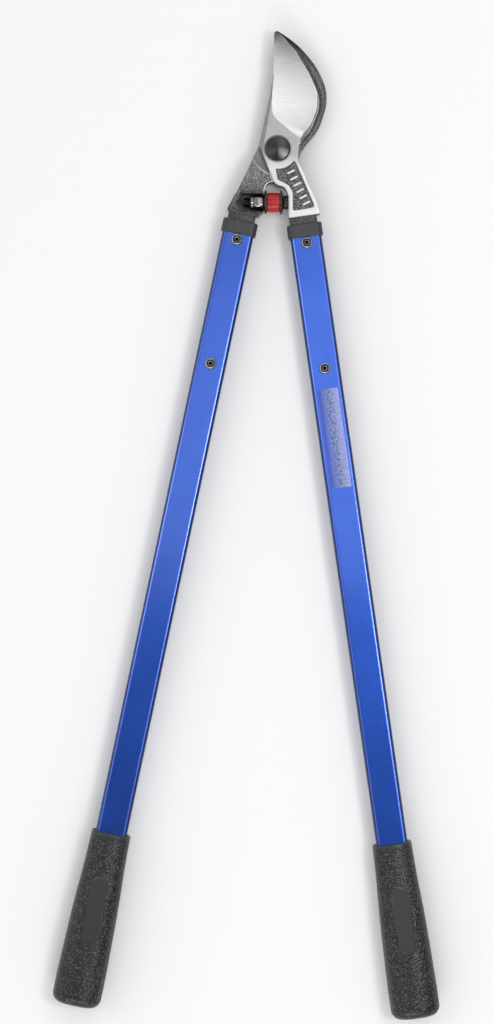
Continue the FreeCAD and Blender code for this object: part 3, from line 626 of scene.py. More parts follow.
def makePivot(s):
    rim = s["seat"] + s["rim"]
    crown = rim + s["crown"]
    head = roundRows(
        (
            (s["shank"], s["seat"]),
            (s["head"], s["seat"]),
            (s["head"], rim),
            (s["head"] - s["rim"], rim + s["rim"] / 2),
            (s["mark"], crown),
            (0, crown - s["mark"]),
        ),
        s["headSoft"],
    )
    chamfer = s["tailChamfer"]
    tail = roundRows(((0, 0), (s["shank"] - chamfer, 0), (s["shank"], chamfer)), s["tailSoft"])
    shank = shaft(s["shank"], chamfer + 0.1, s["threadEnd"] + 1.0, s["pitch"] / 6)
    thread = threadOf(s["shank"], s["pitch"], chamfer, s["threadEnd"], s["threadDepth"])
    points, faces = turnedGrid(np.vstack((tail, shank, head)), s["columns"], thread=thread)
    addPiece("pivotBolt", "hook_side", ["pivot_bolt"], points, [faces], [turnedOxide])
    high = s["washerTop"]
    low = high - s["washerThickness"]
    corners = ((s["shank"], low), (s["washer"], low), (s["washer"], high), (s["shank"], high))
    ring = closedRing(corners, s["washerSoft"])
    points, faces = turnedGrid(ring, s["columns"], closeRows=True)
    addPiece("pivotWasher", "hook_side", ["pivot_washer"], points, [faces], [zincSteel])
    nut = nutRows(s["nutFlats"], s["shank"], low - s["nutHeight"], low)
    points, faces = turnedGrid(nut, s["columns"], 30, closeRows=True)
    addPiece("pivotNut", "hook_side", ["pivot_nut"], points, [faces], [zincSteel])


def nutRows(flats, bore, low, high, chamfer=0.6):
    # A hexagon whose corners are turned down: the cap falls from the corner's radius at both ends
    corner = flats / math.cos(math.pi / 6)
    slope = np.linspace(0, 1, 5)
    mouth, face, middle = bore + chamfer / 2, corner - 2 * chamfer, (low + high) / 2
    rows = [(bore, bore, middle), (bore, bore, low + chamfer / 2), (mouth, mouth, low), (face, face, low)]
    for k in slope:
        rows.append((flats, corner - chamfer * (1 - k), low + chamfer / 2 * k))
    rows.append((flats, corner, middle))
    for k in slope[::-1]:
        rows.append((flats, corner - chamfer * (1 - k), high - chamfer / 2 * k))
    rows.extend([(face, face, high), (mouth, mouth, high), (bore, bore, high - chamfer / 2)])
    return np.array(rows)


makePivot(pivot)

screws = {
    "downs": {"upper": 80.1, "lower": 184.4},
    "radius": 2.5,
    "head": 4.6,
    "headHeight": 2.7,
    "headRound": 1.8,
    "socket": 1.55,
    "socketDepth": 1.7,
    "nutFlats": 4.0,
    "nutHeight": 4.0,
    "tail": 1.2,
    "seat": 7.0,
    "pitch": 0.8,
    "threadDepth": 0.3,
    "columns": 72,
}


def makeScrews(s):
    # Low round heads: rings up the head, over its edge, into a hexagon socket with a dished floor
    top = s["seat"] + s["headHeight"]
    tail = -s["seat"] - s["nutHeight"] - s["tail"]
    t = np.linspace(0, math.pi / 2, 9)
    bend = s["headRound"]
    edge = np.stack((s["head"] - bend * (1 - np.cos(t)), top - bend * (1 - np.sin(t))), axis=1)
    rows = [roundRows(((0, tail), (s["radius"], tail), (s["radius"], tail + 1.0)), 0.4)]
    rows.append(shaft(s["radius"], tail + 1.0, -s["seat"] + 1.0, 0.15))
    rows.append(roundRows(((s["radius"], s["seat"]), (s["head"], s["seat"]), (s["head"], edge[0, 1])), 0.2))
    rows.append(roundProfile(edge))
    socket, floor = s["socket"], top - s["socketDepth"]
    uncapped = 9.0  # a cap past the corners leaves the hexagon whole
    socketRows = (
        (socket + 0.75, socket + 0.75, top + 0.02),
        (socket + 0.28, uncapped, top - 0.04),
        (socket + 0.05, uncapped, top - 0.22),
        (socket, uncapped, top - 0.45),
        (socket, uncapped, floor + 0.1),
        (socket - 0.15, uncapped, floor),
        (0.6, 0.6, floor - 0.15),
        (0, 0, floor - 0.3),
    )
    rows = np.vstack((*rows, socketRows))
    thread = threadOf(s["radius"], s["pitch"], tail, -s["seat"], s["threadDepth"])
    grid, faces = turnedGrid(rows, s["columns"], thread=thread)
    # Painted light: a painted highlight ring at the head's edge and round the socket's mouth, the head's
    # black between, painted shade inside the socket
    rowNumbers = np.arange(len(rows) - 1)
    ringStart = len(rows) - len(socketRows)
    finish = np.where(rowNumbers < ringStart + 3, 2, 1)
    finish[ringStart - 6 : ringStart - 3] = 0
    finish[ringStart + 1] = 0
    picks = np.repeat(finish, s["columns"])
    nut = nutRows(s["nutFlats"], s["radius"], -s["seat"] - s["nutHeight"], -s["seat"])
    nut, nutFaces = turnedGrid(nut, s["columns"], closeRows=True)
    for side, handle in handles.items():
        for place, down in s["downs"].items():
            shift = np.array((0, -down, 0))
            label = place.capitalize()
            addPiece(
                side + label + "Screw", handle["body"], [side + "_" + place + "_screw"],
                alongHandle(grid + shift, side), [faces], [screwHighlight, socketShade, screwBlack], picks,
            )
            addPiece(
                side + label + "Nut", handle["body"], [side + "_" + place + "_nut"],
                alongHandle(nut + shift, side), [nutFaces], [zincSteel],
            )


makeScrews(screws)

print("stage: the stop")

stop = {
    "down": 43.9,
    "up": 19.0,
    "bolt": 4.0,
    "play": 0.05,
    "seatX": -11.4,
    "washer": 9.7,
    "washerHub": 6.2,
    "washerThickness": 2.4,
    "washerRim": 1.2,
    "pad": 8.1,
    "padStart": -9.0,
    "padEnd": 2.15,
    "headStart": 4.55,
    "head": 5.6,
    "headLength": 4.2,
    "tailEnd": -28.0,
    "nutFlats": 6.0,
    "nutLength": 11.2,
    "nutCollar": 3.2,
    "nutCrown": 0.5,
    "nutCorner": 6.5,
    "nutEnd": 6.05,
    "nutRound": 1.5,
    "nutChamfer": 0.4,
    "washerSoft": 0.35,
    "headSoft": 1.3,
    "padMouth": 0.3,
    "padEdge": 0.9,
    "padShoulder": 0.5,
    "padSwell": 0.1,
    "padLeast": 0.865,
    "pitch": 1.25,
    "threadDepth": 0.6,
    "columns": 96,
}


def alongX(points, x, s):
    # A piece turned about Z is laid along +X on the stop's axis
    return np.stack((x + points[:, 2], points[:, 1] - s["down"], s["up"] - points[:, 0]), axis=1)


def makeStopWashers(s):
    # Two cupped washers, back to back with the pad between them
    bore, thickness = s["bolt"] + s["play"], s["washerThickness"]
    ring = closedRing(
        (
            (bore, 0),
            (s["washer"], 0),
            (s["washer"], s["washerRim"]),
            (s["washerHub"], thickness),
            (bore, thickness),
        ),
        s["washerSoft"],
    )
    points, faces = turnedGrid(ring, s["columns"], closeRows=True)
    addPiece(
        "outerWasher", "stop_plunger", ["bumper_outer_washer"],
        alongX(points, s["padEnd"], s), [faces], [washerSteel],
    )
    points[:, 2] *= -1
    addPiece(
        "innerWasher", "hook_side", ["bumper_inner_washer"],
        alongX(points, s["padStart"], s), [faces], [washerSteel],
    )


def makeStopPad(s):
    # Round, its waist swelling by a sine along it; it gets a mesh of its own
    bore, length = s["bolt"] + s["play"], s["padEnd"] - s["padStart"]
    swell = np.linspace(0, math.pi, 25)
    waist = np.stack((s["pad"] - s["padSwell"] * (1 - np.sin(swell)), length * swell / math.pi), axis=1)
    waist[:, 1] = 0.7 + waist[:, 1] * (length - 1.4) / length
    mouth, edge, shoulder = bore + s["padMouth"], s["pad"] - s["padEdge"], s["pad"] - s["padShoulder"]
    opening = ((bore, length / 2), (bore, 0.2), (mouth, 0), (edge, 0), (shoulder, 0.2))
    closing = ((shoulder, length - 0.2), (edge, length), (mouth, length), (bore, length - 0.2))
    profile = roundProfile(np.vstack((opening, waist, closing)))
    points, faces = turnedGrid(profile, s["columns"], closeRows=True)
    pad = addPiece(
        "stopPad", "hook_side", ["bumper_pad"],
        alongX(points, s["padStart"], s), [faces], [redUrethane], sharp=60,
    )
    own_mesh(pad)


def makeStopBolt(s):
    length = s["headLength"]
    head = roundRows(((s["bolt"], 0), (s["head"], 0), (s["head"], length), (0, length)), s["headSoft"], 9)
    tail = s["tailEnd"] - s["headStart"]
    end = roundRows(((0, tail), (s["bolt"] - 0.6, tail), (s["bolt"], tail + 0.6)), 0.2)
    shank = shaft(s["bolt"], tail + 0.7, -1.0, s["pitch"] / 7)
    thread = threadOf(s["bolt"], s["pitch"], tail, s["seatX"] - s["headStart"] + 2, s["threadDepth"])
    points, faces = turnedGrid(np.vstack((end, shank, head)), 72, thread=thread)
    addPiece(
        "stopBolt", "stop_plunger", ["bumper_bolt"],
        alongX(points, s["headStart"], s), [faces], [blackSteel],
    )


def makeStopNut(s):
    # A tall nut, one flat up: a hexagon with turned-down corners, a fine groove and a round end.
    # Along it the flats rise by crown (1 - k^2), k from -1 to 1, and both ends are quarter circles
    hexEnd = -(s["nutLength"] - s["nutCollar"])
    flats, corner, crown, bend = s["nutFlats"], s["nutCorner"], s["nutCrown"], s["nutRound"]
    bore, mouth, length = s["bolt"], s["bolt"] + s["nutChamfer"], s["nutLength"]
    rows = [(bore, bore, hexEnd / 2), (bore, bore, -s["nutChamfer"]), (mouth, mouth, 0)]
    for q in np.linspace(0, math.pi / 2, 7):
        fall = bend * (1 - math.sin(q))
        rows.append((flats - crown - fall, corner - crown - fall, -bend * (1 - math.cos(q))))
    for k in np.linspace(-1, 1, 13)[1:]:
        z = -bend + (hexEnd + 0.2 + bend) * (k + 1) / 2
        rows.append((flats - crown * k * k, corner - crown * k * k, z))
    rows.append((s["nutEnd"] - 0.8, s["nutEnd"] - 0.8, hexEnd))
    for q in np.linspace(0, math.pi / 2, 7):
        fall = bend * (1 - math.cos(q))
        rows.append((s["nutEnd"] - fall, s["nutEnd"] - fall, -length + bend * (1 - math.sin(q))))
    rows.extend([(mouth, mouth, -length), (bore, bore, -length + s["nutChamfer"])])
    points, faces = turnedGrid(rows, s["columns"], closeRows=True)
    addPiece(
        "stopNut", "stop_plunger", ["bumper_nut"],
        alongX(points, s["seatX"], s), [faces], [darkChrome],
    )


for makePart in (makeStopWashers, makeStopPad, makeStopBolt, makeStopNut):
    makePart(stop)

print("stage: grips")

grip = {
    "start": 579.5,
    "end": 724.44,
    "boreEnd": 715.7,
    "boreWidth": 13.2,
    "boreHeight": 7.2,
    "borePower": 7.0,
    "power": 2.5,
    "columns": 208,
    "rows": 284,
    "endRound": 8.0,
    "mouthRound": 1.2,
    "pebble": 1.9,
    "pebbleDepth": 0.48,
    "pebbleSeed": 11,
    "valleyWidth": 0.42,
    "valleyShare": 0.75,
    "crownLightSize": 0.8,
    "crownLightSeed": 21,
    "plainShade": 0.47,
    "smoothMouth": 3.0,
    "panelStart": 36.0,
    "panelLength": 56.0,
    "panelRadius": 7.5,
    "panelFloor": 14.2,
    "panelEdge": 0.9,
    "stations": (
        (1.2, 16.26, 14.0),
        (16.5, 16.55, 14.3),
        (58.0, 18.55, 15.7),
        (100.0, 19.79, 16.6),
        (127.6, 20.25, 16.97),
        (137.0, 20.2, 16.92),
    ),
}


def cellNoise(points, cell, seed):
    # Distances to the nearest and second nearest of one random point in each cubic cell
    table = np.random.default_rng(seed).random((48, 48, 48, 3))
    scaled = points / cell
    base = np.floor(scaled).astype(int)
    first = np.full(len(points), 9.0)
    second = first.copy()
    for step in np.ndindex(3, 3, 3):
        at = base + step - 1
        seeds = at + table[at[:, 0] % 48, at[:, 1] % 48, at[:, 2] % 48]
        gap = np.linalg.norm(scaled - seeds, axis=1)
        second = np.minimum(np.maximum(first, gap), second)
        first = np.minimum(first, gap)
    return first, second


def gripRows(s):
    # Rows of down, half width, half height and power: out of the bore, over the mouth, along and
    # round the end
    w, h, n = s["boreWidth"], s["boreHeight"], s["borePower"]
    bore = [(s["boreEnd"], 0, 0, n), (s["boreEnd"], w * 0.5, h * 0.5, n), (s["boreEnd"], w, h, n)]
    bore.extend((s["boreEnd"] - (s["boreEnd"] - s["start"] - 1) * k / 12, w, h, n) for k in range(1, 13))
    stations = np.array(s["stations"])
    a, b = stations[0, 1:]
    t = np.linspace(0, math.pi / 2, 6)
    inner, outer = [], []
    for q in t:
        out = (1 - math.cos(q)) * 0.8
        inner.append((s["start"] + 1 - math.sin(q), w + out, h + out, n))
        fall = s["mouthRound"] * (1 - math.sin(q))
        outer.append((s["start"] + s["mouthRound"] * (1 - math.cos(q)), a - fall, b - fall, s["power"]))
    face = [(s["start"], w + 1.6, h + 2.8, 3.4)]
    length = smoothCurve(stations, s["rows"])
    body = np.column_stack((length[:, 0] + s["start"], length[:, 1:], np.full(len(length), s["power"])))
    last = body[-1]
    t = np.linspace(0, math.pi / 2, 16)[1:]
    drop = s["endRound"] * (1 - np.cos(t))
    reach = (s["end"] - last[0]) * np.sin(t)
    end = np.column_stack((last[0] + reach, last[1] - drop, last[2] - drop, np.full(len(t), s["power"])))
    shrink = np.linspace(1, 0, 9)[1:]
    same = np.ones(len(shrink))
    cap = np.column_stack((same * s["end"], end[-1, 1] * shrink, end[-1, 2] * shrink, same * s["power"]))
    rows = np.vstack((bore, inner, face, outer, body[1:], end, cap))
    return rows, len(bore) + len(inner) + 1


def makeGrip(side, s):
    # Rings |x/a|^n + |z/b|^n = 1 along the grip, lowered by the pebble's valleys and the sunk panel
    rows, outside = gripRows(s)
    angle = np.linspace(0, 2 * math.pi, s["columns"], endpoint=False) + 0.01
    c, q = np.cos(angle), np.sin(angle)
    power = rows[:, 3:]
    x = rows[:, 1:2] * np.sign(c) * np.abs(c) ** (2 / power)
    z = rows[:, 2:3] * np.sign(q) * np.abs(q) ** (2 / power)
    down = np.repeat(rows[:, :1], s["columns"], axis=1)
    outX = np.sign(c) * np.abs(c) ** (2 - 2 / power) / np.maximum(rows[:, 1:2], 1)
    outZ = np.sign(q) * np.abs(q) ** (2 - 2 / power) / np.maximum(rows[:, 2:3], 1)
    size = np.hypot(outX, outZ) + tiny
    flat = np.stack((x, down, z), axis=-1).reshape(-1, 3)
    first, second = cellNoise(flat + (200 if side == "left" else 0), s["pebble"], s["pebbleSeed"])
    valley = 1 - np.clip((second - first) / s["valleyWidth"], 0, 1)
    relief = (valley**2 * s["valleyShare"] + (1 - s["valleyShare"]) * first**2).reshape(x.shape)
    along = down - s["start"]
    panelLow = s["panelStart"] + s["panelRadius"]
    panelHigh = s["panelStart"] + s["panelLength"] - s["panelRadius"]
    middle = np.clip(along, panelLow, panelHigh)
    inPanel = s["panelRadius"] - np.hypot(x, along - middle)
    sunk = np.clip(inPanel / s["panelEdge"], 0, 1) * (z > 0)
    sunk = sunk * sunk * (3 - 2 * sunk)
    plainRim = np.clip((along - s["smoothMouth"]) / 1.5, 0, 1) * np.clip((s["end"] - down) / 0.5, 0, 1)
    plainPanel = np.where(z > 0, np.clip(-inPanel / 0.6 + 0.3, 0, 1), 1)
    isOuter = (np.arange(len(rows)) >= outside)[:, None]
    pebbled = plainRim * plainPanel * isOuter
    depth = s["pebbleDepth"] * relief * pebbled
    around = np.repeat(angle[None, :] * 16, len(rows), axis=0)  # mm, as the grip's mean radius is 16
    # Painted light: pale on the pebbles' crowns, dark in their valleys, its strength varying at random
    crownLight = 0.5 + 0.5 * latticeNoise(down, around, s["crownLightSize"], s["crownLightSeed"])
    crown = s["plainShade"] * (1 - pebbled) + pebbled * (1 - relief) ** 2 * (0.35 + 0.65 * crownLight)
    x = x - depth * outX / size
    z = z - depth * outZ / size
    z = np.where(isOuter, z * (1 - sunk) + np.minimum(z, s["panelFloor"]) * sunk, z)
    points = np.stack((x, -down, z), axis=-1).reshape(-1, 3)
    faces = gridFaces(len(rows), s["columns"])
    addPiece(
        side + "GripSleeve", handles[side]["body"], [side + "_grip"],
        alongHandle(points, side), [faces], [gripVinyl], sharp=80, crown=crown.reshape(-1),
    )


for gripSide in handles:
    makeGrip(gripSide, grip)

print("stage: forgings")


def nearestOn(points, line, closed=True):
    # For all points at once: distance to a line of points, the place on it and how far along
    ends = np.roll(line, -1, axis=0) if closed else line[1:]
    best = np.full(len(points), np.inf)
    place = np.zeros_like(points)
    along = np.zeros(len(points))
    for i, (a, b) in enumerate(zip(line, ends)):
        run = b - a
        t = np.clip((points - a) @ run / (run @ run + tiny), 0, 1)
        at = a + t[:, None] * run
        gap = ((points - at) ** 2).sum(axis=1)
        closer = gap < best
        best[closer] = gap[closer]
        place[closer] = at[closer]
        along[closer] = i + t[closer]
    return np.sqrt(best), place, along


def isInside(points, loop):
    x, y = points.T
    odd = np.zeros(len(points), bool)
    for a, b in zip(loop, np.roll(loop, -1, axis=0)):
        crosses = (a[1] > y) != (b[1] > y)
        odd ^= crosses & (x < a[0] + (y - a[1]) * (b[0] - a[0]) / (b[1] - a[1] + tiny))
    return odd


def depthIn(points, loops):
    # How deep each point lies inside the loops, the hole loops reversed, and the nearest place
    depth = np.full(len(points), np.inf)
    place = np.zeros_like(points)
    for loop, hole in loops:
        gap, at, _ = nearestOn(points, loop)
        own = np.where(isInside(points, loop) != hole, gap, -gap)
        closer = own < depth
        depth = np.where(closer, own, depth)
        place[closer] = at[closer]
    return depth, place


def within(points, loop):
    return depthIn(points, [(loop, False)])[0]


def withinAny(points, loops):
    return np.max([within(points, loop) for loop in loops], axis=0)


def platePlan(loops, creases, cell):
    # A square grid over the plan. Where a grid edge crosses the outline or a crease, its nearer end
    # moves onto that line, so every line runs along edges or diagonals. Outer triangles are dropped
    outer = np.vstack([loop for loop, hole in loops if not hole])
    low, high = outer.min(axis=0) - 1.3 * cell, outer.max(axis=0) + 1.7 * cell
    grid = np.meshgrid(np.arange(low[0], high[0], cell), np.arange(low[1], high[1], cell), indexing="ij")
    shape = grid[0].shape
    points = np.stack(grid, axis=-1).reshape(-1, 2)
    on = np.zeros(len(points), int)
    for number, (lines, level) in enumerate([(loops, 0.0)] + creases, 1):
        depth, place = depthIn(points, lines)
        value = (depth - level).reshape(shape)
        marked = np.zeros(shape, bool)
        for first, second in ((np.s_[:-1, :], np.s_[1:, :]), (np.s_[:, :-1], np.s_[:, 1:])):
            crossing = (value[first] > 0) != (value[second] > 0)
            nearer = np.abs(value[first]) <= np.abs(value[second])
            marked[first] |= crossing & nearer
            marked[second] |= crossing & ~nearer
        take = marked.reshape(-1) & (on == 0)
        if number == 1:
            outlineDepth = np.where(take, 0, depth)
        scale = level / np.where(np.abs(depth) < tiny, 1, depth)
        points[take] = (place + (points - place) * scale[:, None])[take]
        on[take] = number
    index = np.arange(len(points)).reshape(shape)
    a, b, c, d = (i.reshape(-1) for i in (index[:-1, :-1], index[1:, :-1], index[1:, 1:], index[:-1, 1:]))
    lineAC = (on[a] == on[c]) & (on[a] > 0)
    lineBD = (on[b] == on[d]) & (on[b] > 0)
    shortAC = np.linalg.norm(points[a] - points[c], axis=1) <= np.linalg.norm(points[b] - points[d], axis=1)
    pick = np.where(lineAC != lineBD, lineAC, shortAC)[:, None]
    lower = np.where(pick, np.stack((a, b, c), axis=1), np.stack((a, b, d), axis=1))
    upper = np.where(pick, np.stack((a, c, d), axis=1), np.stack((b, c, d), axis=1))
    triangles = np.vstack((lower, upper))
    triangles = triangles[(outlineDepth[triangles] >= 0).all(axis=1)]
    edgeOnly = (on[triangles] == 1).all(axis=1)
    centres = points[triangles].mean(axis=1)
    keep = ~edgeOnly
    keep[edgeOnly] = depthIn(centres[edgeOnly], loops)[0] > 0
    triangles = triangles[keep]
    used = np.unique(triangles)
    renumber = np.zeros(len(points), int)
    renumber[used] = np.arange(len(used))
    return points[used], renumber[triangles]


def plateSolid(plan, triangles, top, bottom):
    # The plan lifted to its top and bottom heights, with walls round its open edges
    count = len(plan)
    points = np.vstack((np.column_stack((plan, top)), np.column_stack((plan, bottom))))
    edges = np.vstack((triangles[:, :2], triangles[:, 1:], triangles[:, ::2][:, ::-1]))
    keys = edges[:, 0] * count + edges[:, 1]
    twins = edges[:, 1] * count + edges[:, 0]
    rim = edges[~np.isin(keys, twins)]
    walls = np.column_stack((rim[:, 0], rim[:, 0] + count, rim[:, 1] + count, rim[:, 1]))
    return points, triangles, triangles[:, ::-1] + count, walls


def circle(radius, count=96, start=0.0, end=360.0):
    full = end - start == 360
    angle = np.radians(np.linspace(start, end, count, endpoint=not full))
    return np.stack((radius * np.cos(angle), radius * np.sin(angle)), axis=1)


def places(shares, across, along):
    return np.array(shares) * (across, along)


def edgeDrop(depth, width, slope):
    # The shallow ground edge: slope times what is left of its width
    return np.clip(width - depth, 0, width) * slope


def castGrain(x, y, s):
    # A fine and a coarse noise, in shares that make one
    fine, coarse, share, seed = s["grain"]
    return latticeNoise(x, y, fine, seed) * share + latticeNoise(x, y, coarse, seed + 1) * (1 - share)


def ease(value, width):
    # 0 below zero, 1 above the width, smooth between
    t = np.clip(value / width, 0, 1)
    return t * t * (3 - 2 * t)


def tangBar(s, side):
    # The neck and tang: a rounded rectangle carried down the handle, with its ends closed
    quarter = np.linspace(0, math.pi / 2, 5)
    ring = []
    for k, (sx, sz) in enumerate(((1, 1), (-1, 1), (-1, -1), (1, -1))):
        turn = quarter + k * math.pi / 2
        x = sx * (s["tangWidth"] / 2 - s["tangCorner"]) + s["tangCorner"] * np.cos(turn)
        z = sz * (s["tangThickness"] / 2 - s["tangCorner"]) + s["tangCorner"] * np.sin(turn)
        ring.append(np.stack((x, z), axis=1))
    ring = np.vstack(ring)
    start = s["neckStart"][side]
    downs = np.concatenate(([start], np.linspace(start, s["tangEnd"], 40), [s["tangEnd"]]))
    scale = np.ones(len(downs))
    scale[[0, -1]] = 0
    x = scale[:, None] * ring[:, 0]
    z = scale[:, None] * ring[:, 1]
    y = np.repeat(-downs[:, None], len(ring), axis=1)
    points = alongHandle(np.stack((x, y, z), axis=-1).reshape(-1, 3), side)
    return points, gridFaces(len(downs), len(ring))


def joined(blocks):
    # Blocks of points, face arrays and the faces' materials, as one
    points, faces, picks = [], [], []
    start = 0
    for blockPoints, blockFaces, blockPicks in blocks:
        points.append(blockPoints)
        for group, pick in zip(blockFaces, blockPicks):
            faces.append(group + start)
            picks.append(np.broadcast_to(pick, len(group)))
        start += len(blockPoints)
    return np.vstack(points), faces, np.concatenate(picks)


forging = {
    "half": 7.0,
    "gap": 0.05,
    "edge": 0.9,
    "edgeSlope": 0.4,
    "cell": 0.45,
    "step": 0.4,
    "skin": 0.07,
    "neckStart": {"left": 56.3, "right": 53.0},
    "tangEnd": 195.4,
    "tangWidth": 22.4,
    "tangThickness": 10.4,
    "tangCorner": 1.9,
    "partingTop": (-15.2, 3.3),
    "partingFoot": (-3.2, -26.9),
    "armGap": 0.45,
    "stepRadius": 21.5,
    "shoulderRadius": 27.0,
}

bladeArm = {
    "reach": 34.9,
    "depth": 57.0,
    "bladeReach": 32.9,
    "bladeLength": 98.2,
    "bore": 7.55,
    "spotface": 12.0,
    "spotfaceShown": 10.9,
    "spotfaceDepth": 0.6,
    "leastThickness": 0.03,
    "backEdge": 0.7,
    "grain": (1.3, 2.9, 0.6, 3),
    "grindCrown": 0.10,
    "grindSpill": 1.5,
    "bevelRunOut": (2.6, -6.6),
    "stopX": 9.1,
    "stopTop": 39.2,
    "stopFoot": 53.2,
    "panelDepth": 1.2,
    "panelRim": 3.3,
    "panelRound": 1.3,
    "panelCorner": 0.9,
    "panelRight": ((0.440, -0.210), (0.866, -0.815), (0.842, -0.851)),
    "barCount": 6,
    "barLength": 6.6,
    "barWidth": 1.5,
    "barHeight": 0.9,
    "barSide": 0.4,
    "barFirst": (0.315, -0.335),
    "barLast": (0.680, -0.785),
    "crotch": ((0.13, 0.16), (0.72, 0.42), (0.88, 0.66)),
    "right": (
        (1.000, -0.937), (1.000, -0.888), (0.948, -0.775), (0.797, -0.574), (0.676, -0.407), (0.556, -0.242),
        (0.496, -0.139), (0.490, -0.104), (0.496, -0.037), (0.510, 0.059), (0.541, 0.136),
    ),
    "edgeLine": (
        (0.638, 0.127), (0.745, 0.166), (0.851, 0.223), (0.930, 0.290), (0.985, 0.350), (1.000, 0.412),
        (0.982, 0.486), (0.912, 0.554), (0.781, 0.649), (0.611, 0.744), (0.444, 0.830), (0.277, 0.897),
        (0.052, 0.972), (-0.050, 0.992),
    ),
    "spine": (
        (-0.082, 0.989), (-0.091, 0.835), (-0.097, 0.691), (-0.115, 0.609), (-0.152, 0.526), (-0.191, 0.448),
        (-0.240, 0.377), (-0.295, 0.292), (-0.347, 0.214), (-0.398, 0.132),
    ),
    # Rows across the grind: edge x, y and height, then its start x, y and height
    "grind": (
        (-0.079, 1.014, 0.10, -0.205, 1.011, 0.62),
        (0.021, 0.982, 0.09, -0.200, 0.953, 0.60),
        (0.277, 0.897, 0.08, -0.180, 0.852, 0.74),
        (0.611, 0.744, 0.07, -0.180, 0.704, 0.98),
        (0.781, 0.649, 0.07, -0.180, 0.608, 1.03),
        (0.912, 0.554, 0.07, -0.170, 0.533, 1.02),
        (1.000, 0.412, 0.07, -0.140, 0.407, 1.00),
        (0.948, 0.305, 0.14, -0.130, 0.316, 1.00),
        (0.851, 0.223, 0.33, -0.060, 0.261, 1.00),
        (0.745, 0.166, 0.60, 0.110, 0.207, 1.00),
        (0.665, 0.137, 0.82, 0.300, 0.155, 1.00),
        (0.618, 0.112, 0.94, 0.430, 0.120, 1.00),
        (0.588, 0.088, 1.00, 0.540, 0.090, 1.00),
    ),
    # The bevel's width at each height
    "bevelRows": (
        (-3.34, 0.8), (3.3, 3.4), (12.96, 3.4), (21.0, 3.13), (37.0, 2.2), (51.7, 1.09), (67.9, 0.1),
    ),
}


def bladeArmOutline(f, s):
    # The whole plan: parting line, crotch, stop face, foot, right side, cutting edge and spine
    top, foot = np.array(f["partingTop"]), np.array(f["partingFoot"])
    stopTop = np.array((s["stopX"], -s["stopTop"]))
    crotch = smoothCurve(np.vstack((foot, foot + np.array(s["crotch"]) * (stopTop - foot), stopTop)), 24)
    right = places(s["right"], s["reach"], s["depth"])
    edge = smoothCurve(places(s["edgeLine"], s["bladeReach"], s["bladeLength"]), 90)
    spine = smoothCurve(np.vstack((places(s["spine"], s["bladeReach"], s["bladeLength"]), top)), 60)
    corners = np.array(((s["stopX"], -s["stopFoot"]), (s["stopX"], -s["depth"]), right[0]))
    return np.vstack((crotch, corners, smoothCurve(right[1:], 40), edge, spine)), spine


def panelLoop(f, s):
    # The sunk panel keeps a rim to the hub, the crotch, the stop face and the right side
    radius = s["spotface"] + s["panelRim"] + s["panelRound"]
    right = places(s["panelRight"], s["reach"], s["depth"])
    foot = np.array(f["partingFoot"])
    start = math.degrees(math.atan2(-math.sqrt(radius**2 - (foot[0] / 2) ** 2), foot[0] / 2))
    end = math.degrees(math.atan2(right[0, 1], right[0, 0])) + 2
    left = s["stopX"] + s["panelRim"]
    low = -s["stopFoot"] + s["panelRim"]
    corners = (
        *right,
        (left + s["panelRound"], low - s["panelRound"]),
        (left, low),
        (left, -s["stopTop"] + s["panelRim"]),
        ((s["stopX"] + left) / 2 - s["panelRim"] / 2, foot[1] - s["panelRim"]),
        (0, foot[1] + s["panelRound"]),
    )
    loop = np.vstack((circle(radius, 14, start=start, end=end), corners))
    return softened(np.vstack((loop, loop[:1])), s["panelCorner"], 4)[:-1]


def barLoops(s):
    # Plain raised bars, square to the line that they stand along
    first = np.array(s["barFirst"]) * (s["reach"], s["depth"])
    last = np.array(s["barLast"]) * (s["reach"], s["depth"])
    way = (last - first) / np.linalg.norm(last - first)
    across = np.array((-way[1], way[0]))
    loops = []
    for k in np.linspace(0, 1, s["barCount"]):
        centre = first + (last - first) * k
        signs = np.array(((-1, -1), (1, -1), (1, 1), (-1, 1), (-1, -1)))
        ring = centre + signs[:, :1] * across * s["barLength"] / 2 + signs[:, 1:] * way * s["barWidth"] / 2
        loops.append(softened(ring, 0.3, 4)[:-1])
    return loops


def bevelLoop(line, rows):
    # The bevel's plan: the spine, and the same line pushed inwards by the width at each height
    width = np.interp(line[:, 1], rows[:, 0], rows[:, 1], left=0, right=0)
    way = np.gradient(line, axis=0)
    inward = np.column_stack((-way[:, 1], way[:, 0])) / np.linalg.norm(way, axis=1, keepdims=True)
    has = width > 0.5
    inner = (line + inward * width[:, None])[has]
    return np.vstack((line[has], inner[::-1]))


def grindHeight(plan, rows, crown):
    # Each point lies between two rows, where the side that it lies on changes. Along its own row, a
    # share v from the grind's start to the edge, the height falls by (1 - crown) v + crown v^2 of
    # the whole
    run = rows[:, 3:5] - rows[:, :2]
    away = plan[:, None, :] - rows[None, :, :2]
    side = away[..., 0] * run[:, 1] - away[..., 1] * run[:, 0]
    k = (side[:, :-1] * side[:, 1:] <= 0).argmax(axis=1)
    here = np.arange(len(plan))
    share = np.clip(side[here, k] / (side[here, k] - side[here, k + 1] + tiny), 0, 1)[:, None]
    row = rows[k] * (1 - share) + rows[k + 1] * share
    run = row[:, 3:5] - row[:, :2]
    v = 1 - np.clip(((plan - row[:, :2]) * run).sum(axis=1) / ((run**2).sum(axis=1) + tiny), 0, 1)
    return row[:, 5] - (row[:, 5] - row[:, 2]) * ((1 - crown) * v + crown * v * v)


